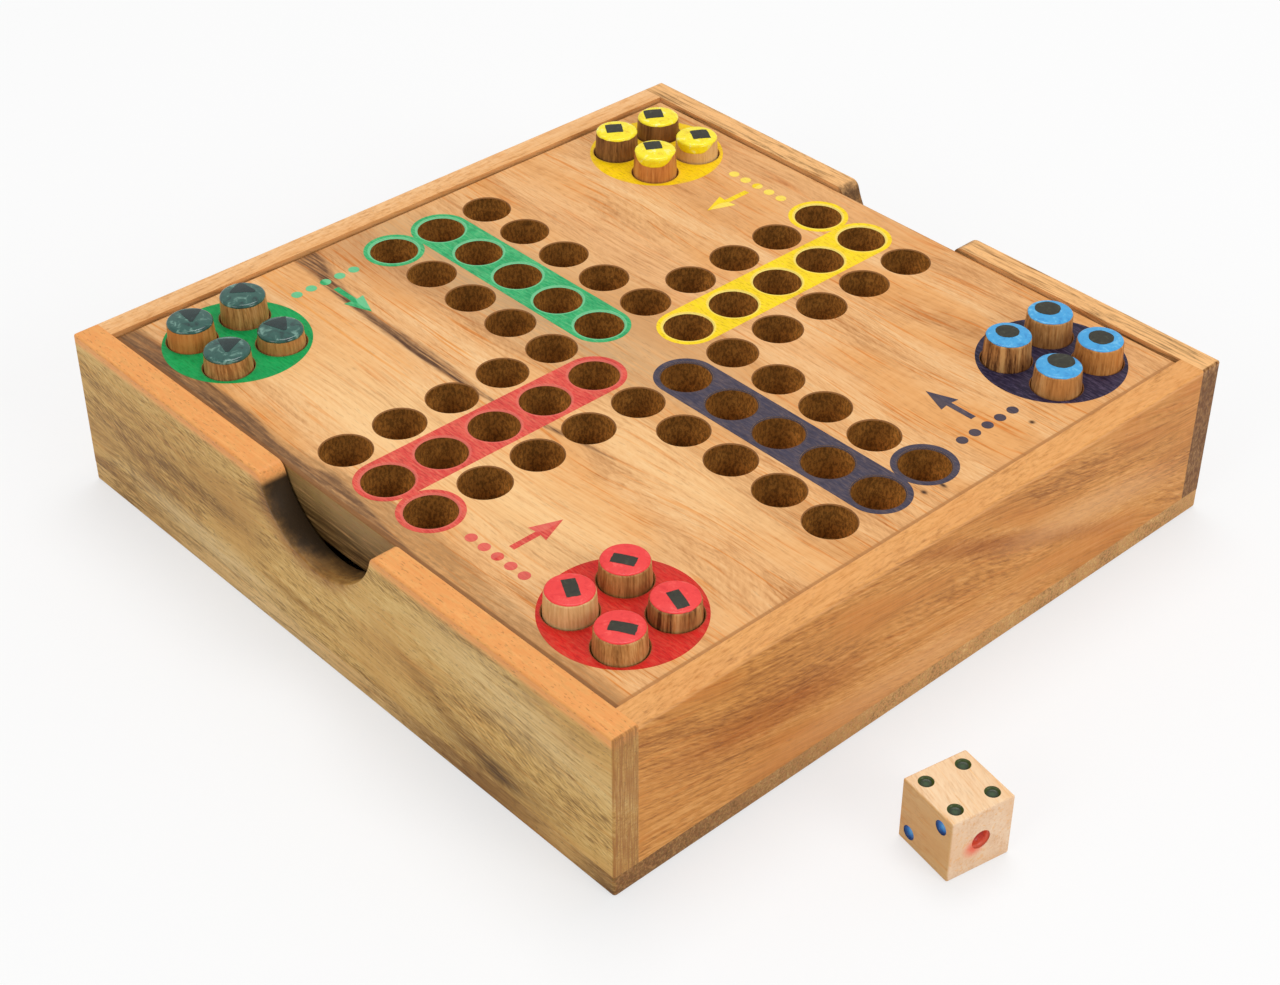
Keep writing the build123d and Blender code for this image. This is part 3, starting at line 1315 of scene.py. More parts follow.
@dataclass
class GameBox:
    """The four walls, the bottom panel and the blocks that carry the board. Sizes in mm."""

    wall_top: float = 42.5
    half: float = 95.0
    notch_radius: float = 20.0
    notch_depth: float = 16.0

    def front_wood(self) -> Wood:
        """The front wall's olive board, with dark smoky patches and a burnt notch.

        Returns:
            The wood.
        """
        notch = (0.0, self.wall_top - self.notch_depth + self.notch_radius)
        smoke, pale = tone(206, 190, 160), tone(228, 198, 144)
        lower = {"across": Axis.Z, "grit": 0.3, "ragged": 2.0}
        return Wood(
            name="front_wall_wood",
            dark=tone(144, 106, 52),
            body=tone(208, 166, 94),
            pale=tone(228, 194, 126),
            warm=tone(206, 156, 84),
            face=Axis.Z,
            slope=0.02,
            sway=7.0,
            band=10.0,
            bands=1.1,
            rings=0.1,
            fibres=0.6,
            flecks=1.1,
            fleck_slope=0.35,
            dashes=0.7,
            lines=0.35,
            pores=0.3,
            pore_length=1.6,
            pore_width=0.35,
            stains=(
                Cloud(
                    colour=tone(228, 212, 182), strength=0.7, centre=(-60.0, 28.0), reach=(66.0, 20.0),
                    **lower,
                ),
                Cloud(colour=smoke, strength=0.4, centre=(-40.0, 25.0), reach=(40.0, 9.0), **lower),
                Cloud(colour=tone(184, 172, 158), centre=(58.0, 10.0), reach=(34.0, 8.0), **lower),
                Cloud(colour=tone(150, 134, 116), centre=(60.0, 9.0), reach=(10.0, 3.5), **lower),
                Cloud(colour=smoke, centre=(42.0, 15.0), reach=(30.0, 4.0), slope=-0.42, **lower),
                Cloud(colour=tone(190, 168, 136), centre=(-88.0, 5.0), reach=(30.0, 5.0), **lower),
                Cloud(
                    colour=tone(206, 188, 160), centre=(-72.0, 19.0), reach=(16.0, 3.0), slope=-0.3, **lower,
                ),
                Cloud(colour=smoke, strength=0.9, centre=(-8.0, 13.0), reach=(24.0, 2.5), across=Axis.Z),
                Cloud(
                    colour=pale, strength=0.55, blend=Blend.COVER,
                    centre=(66.0, 31.0), reach=(44.0, 12.0), slope=-0.12, **lower,
                ),
                Cloud(
                    colour=pale, strength=0.75, blend=Blend.COVER,
                    centre=(-44.0, 9.0), reach=(50.0, 7.0), slope=-0.04, **lower,
                ),
                Scorch(
                    colour=tone(196, 172, 142), strength=0.9, centre=notch, soft=3.0,
                    radius=self.notch_radius, ragged=2.0,
                    width=((-21.0, 4.0), (4.0, 2.4), (14.0, -1.0), (20.0, -4.0)),
                ),
                # These two burns lean darker towards the notch's inner edge: painted shade of the gap beside
                # the board.
                Scorch(
                    colour=tone(120, 88, 52), strength=0.9, blend=Blend.COVER, centre=notch, soft=1.0,
                    radius=self.notch_radius, ragged=1.0, mottle=0.3, lean=0.15,
                    width=((-21.0, 1.0), (-12.0, 1.0), (2.0, 0.5), (12.0, 0.0), (20.0, -0.8)),
                ),
                Scorch(
                    colour=tone(44, 33, 20), strength=0.95, blend=Blend.COVER, centre=notch, soft=1.7,
                    radius=self.notch_radius, ragged=1.5, lean=0.5,
                    width=(
                        (-21.0, 0.6), (-17.0, 1.8), (-11.0, 1.5), (-5.0, 0.1), (0.0, -1.0), (6.0, -0.9),
                        (12.0, -0.5), (16.0, -1.6), (20.0, -2.6),
                    ),
                ),
                Beyond(
                    colour=tone(246, 174, 102), strength=0.92, blend=Blend.COVER, across=Axis.Z, mottle=0.25,
                    start=self.wall_top - 3.4, full=self.wall_top - 1.4,
                ),
                Beyond(
                    colour=tone(226, 146, 78), strength=0.75, blend=Blend.COVER, across=Axis.Z, grit=0.3,
                    start=self.wall_top - 2.2, full=self.wall_top - 1.3, mottle=0.5,
                ),
                EndGrain(
                    colour=tone(160, 108, 56), strength=0.95, blend=Blend.COVER, across=Axis.X,
                    start=self.half - 0.7, full=self.half - 0.25,
                ),
            ),
        )

    def back_wood(self) -> Wood:
        """The back wall's darker, speckled board.

        Returns:
            The wood.
        """
        return Wood(
            name="back_wall_wood",
            dark=tone(104, 76, 40),
            body=tone(176, 132, 78),
            pale=tone(214, 172, 114),
            warm=tone(182, 126, 70),
            face=Axis.Z,
            sway=6.0,
            bands=1.0,
            fibres=0.5,
            flecks=0.5,
            pores=0.15,
            pore_length=2.2,
            pore_width=0.45,
            shift=(40.0, 0.0, 31.0),
            stains=(
                # Pale top edge, carried down over the inner lip above the board: painted light where that lip
                # lies in shade.
                Beyond(
                    colour=tone(243, 186, 122), blend=Blend.COVER, across=Axis.Z, grit=0.25, mottle=0.1,
                    start=self.wall_top - 2.2, full=self.wall_top - 1.4,
                ),
                EndGrain(
                    colour=tone(104, 58, 12), strength=0.95, blend=Blend.COVER, across=Axis.X, rings=0.5,
                    ring_size=(50.0, 0.9, 1.6), start=self.half - 0.7, full=self.half - 0.25,
                ),
                Scorch(
                    colour=tone(80, 56, 36), strength=0.9, blend=Blend.COVER, mottle=0.3,
                    centre=(0.0, self.wall_top - self.notch_depth + self.notch_radius),
                    radius=self.notch_radius, width=((-20.0, 0.9), (-8.0, 0.2), (0.0, 0.4), (20.0, 1.0)),
                ),
            ),
        )

    def side_wood(self) -> Wood:
        """The side walls' warm orange-brown board, with a slanting flame.

        Returns:
            The wood.
        """
        return Wood(
            name="side_wall_wood",
            dark=tone(158, 98, 42),
            body=tone(206, 140, 68),
            pale=tone(228, 168, 98),
            warm=tone(206, 130, 58),
            grain=Axis.Y,
            face=Axis.Z,
            slope=0.16,
            sway=7.0,
            band=10.0,
            bands=0.85,
            rings=0.1,
            fibres=0.85,
            flecks=0.85,
            fleck_slope=0.2,
            lines=0.4,
            pores=0.15,
            pore_length=3.0,
            stains=(
                Cloud(
                    colour=tone(222, 200, 172), centre=(-52.0, 23.0), reach=(44.0, 8.0), slope=-0.1,
                    along=Axis.Y, across=Axis.Z, ragged=1.5,
                ),
                Cloud(
                    colour=tone(214, 192, 168), centre=(24.0, 27.0), reach=(56.0, 4.5), slope=-0.4,
                    along=Axis.Y, across=Axis.Z, ragged=1.5,
                ),
                Cloud(
                    colour=tone(228, 172, 114), strength=0.6, blend=Blend.COVER, centre=(52.0, 22.0),
                    reach=(44.0, 7.0), slope=-0.15, along=Axis.Y, across=Axis.Z, ragged=1.5,
                ),
                Cloud(
                    colour=tone(226, 168, 110), strength=0.5, blend=Blend.COVER, centre=(-10.0, 9.0),
                    reach=(60.0, 7.0), along=Axis.Y, across=Axis.Z, ragged=1.5,
                ),
                Beyond(
                    colour=tone(236, 172, 106), strength=0.75, blend=Blend.COVER, across=Axis.Z, grit=0.5,
                    start=self.wall_top - 1.5, full=self.wall_top - 0.8,
                ),
                Beyond(
                    colour=tone(246, 202, 150), strength=0.7, blend=Blend.COVER, across=Axis.X, grit=0.4,
                    start=11.0 - self.half, full=-self.half, mottle=0.3,
                ),
            ),
        )

    def panel_wood(self) -> Wood:
        """The bottom panel's coarse dark edge.

        Returns:
            The wood.
        """
        return Wood(
            name="panel_wood",
            dark=tone(140, 104, 58),
            body=tone(204, 162, 98),
            pale=tone(228, 192, 130),
            warm=tone(198, 150, 84),
            face=Axis.Z,
            sway=3.0,
            band=6.0,
            bands=1.2,
            fibres=0.8,
            flecks=1.2,
            dashes=0.6,
            pores=0.35,
            pore_length=1.6,
            pore_width=0.4,
            polish=0.5,
            shift=(0.0, 17.0, 5.0),
            stains=(
                Cloud(colour=tone(176, 158, 138), centre=(48.0, -95.0), reach=(38.0, 12.0), grit=0.4),
                Cloud(
                    colour=tone(240, 206, 148), strength=0.6, blend=Blend.COVER, centre=(-20.0, -95.0),
                    reach=(56.0, 12.0), grit=0.4,
                ),
                EndGrain(
                    colour=tone(200, 146, 92), strength=0.95, blend=Blend.COVER, across=Axis.X, rings=0.9,
                    ring_size=(50.0, 0.8, 0.8), start=self.half - 0.4, full=self.half - 0.1,
                ),
                Cloud(
                    colour=tone(168, 156, 146), centre=(-95.0, 95.0), reach=(84.0, 17.0),
                    along=Axis.Y, across=Axis.X, ragged=2.0, mottle=0.4,
                ),
            ),
        )

    def block_wood(self) -> Wood:
        """The hidden corner blocks' plain sawn wood.

        Returns:
            The wood.
        """
        return Wood(
            name="block_wood",
            dark=tone(160, 120, 76),
            body=tone(206, 166, 112),
            pale=tone(228, 196, 146),
            warm=tone(204, 156, 98),
            grain=Axis.Z,
            fibres=1.3,
            polish=0.7,
        )

    def build(self) -> None:
        """Dresses the box."""
        recoat(["wall_front"], self.front_wood().dress())
        recoat(["wall_back"], self.back_wood().dress())
        recoat(["wall_left", "wall_right"], self.side_wood().dress())
        recoat(["bottom_panel"], self.panel_wood().dress())
        blocks = [f"block_{face}_{side}" for face in ("front", "back") for side in ("left", "right")]
        recoat(blocks, self.block_wood().dress())
        log.info("box: 4 walls, the bottom panel and %d blocks", len(blocks))


@dataclass
class Board:
    """The drilled playing board, with its painted strips, bases, arrows and start rows. Sizes in mm."""

    top: float = 41.5
    half: float = 88.0
    hole_floor: float = 32.5
    pitch: float = 15.0
    hole: float = 6.0
    strip_radius: float = 7.65
    base_radius: float = 17.7
    base_place: float = 67.4
    paint_sunk: float = 0.02
    paint_proud: float = 0.04
    hole_ease: float = 0.25
    hole_clear: float = 0.26
    start_dots: int = 5
    start_dot: float = 1.4
    start_gap: float = 4.3
    start_place: Pair = (74.5, 36.5)
    arrow_row: float = 36.3
    arrow_tip: float = 56.2
    arrow_tail: float = 70.5
    arrow_head: float = 7.3
    arrow_half: float = 2.9
    arrow_notch: float = 0.3
    arrow_shaft: float = 0.8
    lap_angle: float = 11.4
    fold_angle: float = 253.9

    def wood(self) -> Wood:
        """The board's pale orange-tan wood, with dark heartwood along its front edge.

        Returns:
            The wood.
        """
        heart, cream, speck = tone(114, 80, 52), tone(248, 204, 144), tone(70, 44, 26)
        specks = ((81.6, 7.3, 1.3, 1.0), (82.7, 12.2, 1.7, 0.9), (80.5, 44.7, 1.1, 1.1))
        # Painted shade along the board's top edges, in the gaps beside the walls: darker at the front and
        # left, paler at the back and right.
        edge = {
            "colour": tone(136, 90, 48), "strength": 0.8, "blend": Blend.COVER, "clear": self.top - 1.6,
            "dark": self.top - 0.4,
        }
        pale_edge_shade = {**edge, "colour": tone(186, 128, 72)}
        end = {
            "colour": tone(196, 138, 82), "strength": 0.8, "blend": Blend.COVER,
            "ring_size": (50.0, 1.0, 1.0),
        }
        rim = self.half - 0.6
        return Wood(
            name="board_wood",
            dark=tone(176, 114, 58),
            body=tone(228, 172, 113),
            pale=tone(244, 202, 148),
            warm=tone(229, 160, 88),
            sway=7.0,
            band=11.0,
            bands=0.95,
            rings=0.12,
            fibres=0.5,
            flecks=0.4,
            dashes=0.3,
            lines=1.0,
            pores=0.15,
            stains=(
                Cloud(
                    colour=cream, strength=0.75, blend=Blend.COVER, centre=(0.0, -60.0), reach=(120.0, 24.0),
                    ragged=3.0, grit=0.5,
                ),
                Cloud(
                    colour=cream, strength=0.5, blend=Blend.COVER, centre=(36.0, -26.0), reach=(66.0, 16.0),
                    ragged=3.0, grit=0.5,
                ),
                Cloud(
                    colour=tone(230, 174, 116), strength=0.6, blend=Blend.COVER, centre=(-24.0, 82.0),
                    reach=(90.0, 14.0), ragged=3.0, grit=0.4,
                ),
                Cloud(
                    colour=tone(222, 160, 100), strength=0.5, blend=Blend.COVER, centre=(-34.0, 61.0),
                    reach=(62.0, 13.0), ragged=3.0, grit=0.4,
                ),
                Cloud(colour=tone(224, 212, 204), centre=(-86.0, -22.0), reach=(50.0, 14.0), ragged=3.0),
                Cloud(
                    colour=tone(238, 184, 128), strength=0.7, blend=Blend.COVER, centre=(-20.0, 28.0),
                    reach=(90.0, 14.0), ragged=3.0, grit=0.4,
                ),
                Cloud(
                    colour=tone(212, 164, 112), strength=0.8, blend=Blend.COVER, centre=(-20.0, 9.0),
                    reach=(100.0, 16.0), ragged=3.0, grit=0.4,
                ),
                Cloud(
                    colour=tone(190, 152, 108), strength=0.95, blend=Blend.COVER, centre=(-40.0, -8.0),
                    reach=(104.0, 19.0), slope=0.02, ragged=3.0, grit=0.3,
                ),
                Cloud(
                    colour=tone(198, 144, 90), strength=0.8, blend=Blend.COVER, centre=(-4.0, 10.0),
                    reach=(44.0, 12.0), ragged=2.0, grit=0.4,
                ),
                Heartwood(
                    colour=tone(168, 124, 76), strength=0.9, blend=Blend.COVER, grit=0.5, ragged=1.6,
                    soft=1.0, mottle=0.35,
                    line=(
                        (-89.0, -81.4), (-60.0, -81.6), (-40.0, -82.2), (-24.0, -82.4), (-12.0, -81.2),
                        (-2.0, -79.6), (8.0, -78.8), (18.0, -79.0), (30.0, -80.2), (50.0, -82.0),
                        (88.0, -85.0),
                    ),
                ),
                Heartwood(
                    colour=heart, blend=Blend.COVER, grit=0.4, ragged=0.9, soft=0.6, mottle=0.2,
                    line=(
                        (-89.0, -82.2), (-75.0, -81.8), (-60.0, -81.8), (-45.0, -82.2), (-36.0, -82.8),
                        (-28.0, -84.0), (-16.0, -84.2), (-8.0, -82.6), (0.0, -83.4), (12.0, -85.4),
                        (24.0, -86.8), (88.0, -92.0),
                    ),
                ),
                Heartwood(
                    colour=tone(88, 60, 40), strength=0.6, blend=Blend.COVER, grit=0.3, ragged=1.2, soft=0.5,
                    mottle=0.5,
                    line=(
                        (-89.0, -86.6), (-75.0, -85.4), (-60.0, -84.6), (-45.0, -84.8), (-36.0, -85.6),
                        (-24.0, -86.4), (-10.0, -87.0), (0.0, -90.0), (88.0, -92.0),
                    ),
                ),
                Streak(
                    colour=tone(142, 100, 64), strength=0.95, blend=Blend.COVER, grit=0.3, ragged=1.0,
                    soft=0.9, mottle=0.3,
                    line=((-89.0, -32.0), (-74.0, -35.4), (-60.0, -37.4), (-34.0, -38.4), (-10.0, -38.8)),
                    width=(
                        (-89.0, 4.0), (-76.0, 2.6), (-60.0, 1.4), (-34.0, 1.9), (-18.0, 0.9), (-10.0, -0.6),
                    ),
                ),
                Streak(
                    colour=tone(88, 56, 34), blend=Blend.COVER, grit=0.25, ragged=0.6, soft=0.5,
                    mottle=0.1,
                    line=(
                        (-89.0, -32.6), (-80.0, -34.2), (-74.0, -36.0), (-64.0, -37.6), (-54.0, -38.2),
                        (-44.0, -38.4), (-34.0, -39.0), (-26.0, -39.0), (-18.0, -39.4), (-10.0, -39.2),
                        (-4.0, -38.0), (6.0, -36.7), (11.0, -36.0), (16.0, -35.2), (29.0, -33.6),
                    ),
                    width=(
                        (-89.0, 2.9), (-82.0, 2.4), (-75.0, 1.3), (-64.0, 0.8), (-54.0, 0.7), (-44.0, 0.9),
                        (-34.0, 1.1), (-27.0, 0.8), (-16.0, 0.6), (-8.0, 0.5), (18.0, 0.4), (29.0, -0.6),
                    ),
                ),
                Streak(
                    colour=tone(232, 158, 80), strength=0.8, blend=Blend.COVER, ragged=0.5, soft=0.3,
                    line=((-89.0, -45.9), (-60.0, -46.9), (-40.0, -47.4), (-20.0, -47.2)),
                    width=((-89.0, 0.25), (-60.0, 0.4), (-40.0, 0.3), (-20.0, -0.4)),
                ),
                Streak(
                    colour=tone(234, 164, 90), strength=0.7, blend=Blend.COVER, ragged=0.6, soft=0.3,
                    line=((-89.0, -42.6), (-60.0, -43.8), (-40.0, -44.4), (-24.0, -44.0)),
                    width=((-89.0, 0.1), (-60.0, 0.25), (-40.0, 0.2), (-24.0, -0.3)),
                ),
                *(
                    Cloud(colour=speck, centre=(x, y), reach=(u, v), blend=Blend.COVER, ragged=0.1)
                    for x, y, u, v in specks
                ),
                EndGrain(across=Axis.X, start=rim + 0.3, full=rim + 0.5, **end),
                EndGrain(across=Axis.X, start=-rim - 0.3, full=-rim - 0.5, **end),
                EdgeShade(across=Axis.X, start=-rim, full=-rim - 0.4, **edge),
                EdgeShade(across=Axis.Y, start=rim, full=rim + 0.4, **pale_edge_shade),
                EdgeShade(across=Axis.X, start=rim - 0.8, full=rim - 0.4, **pale_edge_shade),
                EdgeShade(across=Axis.Y, start=0.8 - rim, full=0.4 - rim, **edge),
                Beyond(
                    across=Axis.Y, start=0.1 - self.half, full=0.02 - self.half, colour=tone(166, 134, 78),
                    strength=0.85, blend=Blend.COVER, grit=0.7, mottle=0.4,
                ),
                # Painted shade: the board's front edge face darker towards the bottom, in the gap behind the
                # front wall's notch.
                EdgeShade(
                    across=Axis.Y, start=0.1 - self.half, full=0.02 - self.half, clear=41.0, dark=31.0,
                    colour=tone(104, 84, 58), strength=0.9, grit=0.3,
                ),
                Mouths(
                    colour=tone(146, 98, 54), top=self.top - 0.004, depth=self.hole_ease, pitch=self.pitch,
                    reach=self.strip_radius, edge_of_holes=86.5,
                    paints=(tone(78, 66, 70), tone(250, 226, 120), tone(120, 204, 150), tone(226, 112, 98)),
                ),
                # The holes: painted shade in them, with painted light deeper down and on one diagonal side.
                Drilled(
                    colour=tone(142, 94, 40), deep_colour=tone(186, 130, 60), top=self.top - self.hole_ease,
                    floor=self.hole_floor, edge_of_holes=86.0, pitch=self.pitch,
                ),
            ),
        )

    def prints(self) -> dict[str, tuple[int, str, Print, Print]]:
        """The four colours: quarter turns from the right-hand arm, the slot, the strip and the base.

        Returns:
            Those by colour.
        """
        return {
            "blue": (
                0, "navy_paint",
                Print("navy_strip", tone(66, 62, 80), tone(78, 66, 70), tone(108, 90, 88), 0.3, 0.5),
                Print("navy_base", tone(32, 26, 52), tone(60, 50, 70), tone(92, 80, 104), 0.35, 0.2),
            ),
            "yellow": (
                1, "yellow_paint",
                Print("yellow_strip", tone(255, 222, 6), tone(250, 228, 130), tone(246, 196, 60), 0.3, 0.4),
                Print("yellow_base", tone(255, 214, 0), tone(222, 166, 70), tone(240, 186, 40), 0.2, 0.3),
            ),
            "green": (
                2, "green_paint",
                Print("green_strip", tone(42, 172, 104), tone(128, 208, 156), tone(110, 190, 128), 0.3, 0.6),
                Print("green_base", tone(0, 162, 82), tone(60, 140, 72), tone(50, 164, 92), 0.25, 0.3),
            ),
            "red": (
                3, "red_paint",
                Print("red_strip", tone(222, 72, 64), tone(226, 112, 98), tone(228, 118, 92), 0.4, 0.5),
                Print("red_base", tone(216, 36, 28), tone(180, 70, 46), tone(214, 80, 58), 0.3, 0.3),
            ),
        }

    def turned(self, points: list[Pair], quarters: int) -> list[Pair]:
        """Points turned about the board's middle.

        Args:
            points: The points.
            quarters: How many quarter turns.

        Returns:
            The turned points.
        """
        for _ in range(quarters):
            points = [(-y, x) for x, y in points]
        return points

    def strip(self) -> list[list[Pair]]:
        """The home strip on the right-hand arm with its start ring, and the holes in it.

        Returns:
            Their outlines in mm.
        """
        radius, pitch = self.strip_radius, self.pitch
        end = 5 * pitch
        meet = 90.0 - self.lap_angle
        outline = arc((end, 0.0), radius, -90.0, meet, 32)
        outline += arc((end, pitch), radius, -meet, self.fold_angle, 56)[1:]
        outline += arc((pitch, 0.0), radius, 90.0, 270.0, 32)
        places = [(pitch * step, 0.0) for step in range(1, 6)] + [(end, pitch)]
        return [outline] + [ring(place, self.hole + self.hole_clear, 48) for place in places]

    def base(self) -> list[list[Pair]]:
        """The base circle of the right-hand arm's colour, and the holes in it.

        Returns:
            Their outlines in mm.
        """
        place, pitch = self.base_place, self.pitch
        holes = [(pitch * i, pitch * j) for i in (4, 5) for j in (4, 5)]
        outer = ring((place, place), self.base_radius, 96)
        return [outer] + [ring(hole, self.hole + self.hole_clear, 48) for hole in holes]

    def arrow(self) -> list[list[Pair]]:
        """The arrow beside the right-hand arm, which points towards the middle.

        Returns:
            Its outline in mm.
        """
        tip, neck, row = self.arrow_tip, self.arrow_tip + self.arrow_head, self.arrow_row
        shaft, inner = self.arrow_shaft, self.arrow_tip + self.arrow_head - self.arrow_notch
        upper = [(tip, 0.0), (neck, self.arrow_half), (inner, shaft), (self.arrow_tail, shaft)]
        lower = [(x, -y) for x, y in reversed(upper[1:])]
        return [[(x, y + row) for x, y in upper + lower]]

    def build(self) -> None:
        """Dresses the board and lays its paint."""
        wood = self.wood()
        recoat(["board"], wood.dress())
        low, high = self.top - self.paint_sunk, self.top + self.paint_proud
        row = start_row()
        for colour, (quarters, slot, *paints) in self.prints().items():
            material, solid = (paint.dress(wood, self.pitch, self.hole) for paint in paints)
            shapes = {
                "strip": (self.strip(), material),
                "base": (self.base(), solid),
                "arrow": (self.arrow(), material),
            }
            for kind, (outlines, finish) in shapes.items():
                lines = [self.turned(outline, quarters) for outline in outlines]
                fit_out(film(f"{colour}_{kind}", lines, low, high), "board", finish)
            across, middle = self.start_place
            span = (self.start_dots - 1) * self.start_gap
            (first,), (gap,) = (
                self.turned([(across, middle - span / 2)], quarters),
                self.turned([(0.0, self.start_gap)], quarters),
            )
            values = {
                "Dots": self.start_dots, "Radius": self.start_dot * MM, "Depth": (high - low) * MM,
                "Place": (first[0] * MM, first[1] * MM, (low + high) / 2 * MM),
                "Gap": (gap[0] * MM, gap[1] * MM, 0.0), "Finish": material,
            }
            fit_out(row.form(f"{colour}_start_row", values), "board")
            log.info("board: %s strip, base, arrow and start row", colour)


class PegWood(Enum):
    """The woods that the pegs are turned from."""

    PALE = Wood(
        "peg_wood_pale", tone(206, 160, 100), tone(230, 188, 128), tone(242, 206, 150), tone(228, 180, 114),
        grain=Axis.Z, fibres=1.0, flecks=0.4, band=3.5, bands=1.0, lines=0.2, pores=0.1,
    )
    GOLDEN = Wood(
        "peg_wood_golden", tone(148, 100, 54), tone(196, 142, 84), tone(220, 172, 112), tone(194, 134, 72),
        grain=Axis.Z, fibres=1.1, flecks=0.5, band=3.0, bands=1.1, lines=0.3, pores=0.25,
    )
    AMBER = Wood(
        "peg_wood_amber", tone(156, 94, 44), tone(204, 138, 72), tone(224, 166, 98), tone(208, 124, 58),
        grain=Axis.Z, fibres=1.1, flecks=0.5, band=3.0, bands=1.1, lines=0.3, pores=0.2,
    )
    BROWN = Wood(
        "peg_wood_brown", tone(100, 66, 38), tone(140, 98, 56), tone(172, 126, 78), tone(132, 88, 50),
        grain=Axis.Z, fibres=1.0, flecks=0.5, band=2.5, bands=1.2, lines=0.3, pores=0.3,
    )
    FIGURED = Wood(
        "peg_wood_figured", tone(96, 60, 34), tone(178, 126, 74), tone(214, 166, 106), tone(160, 104, 58),
        grain=Axis.Z, fibres=1.2, flecks=0.5, band=2.6, bands=2.6, lines=0.4, pores=0.3,
        shift=(1.5, 0.8, 0.0),
    )


class Mark(Enum):
    """A colour's mark on its pegs: its roundness and its taper, each from 0 to 1."""

    SQUARE = (0.12, 0.0)
    BAR = (0.1, 0.0)
    DOT = (1.0, 0.0)
    WEDGE = (0.2, 0.85)


@dataclass(frozen=True)
class PegLook:
    """What one peg is like: its wood, its mark in mm and degrees, and how its enamel ends."""

    wood: PegWood
    length: float
    width: float
    turn: float
    aside: Pair
    spill: float = 0.25
    ragged: float = 0.3
    run: float = 0.0
    heading: float = 0.0


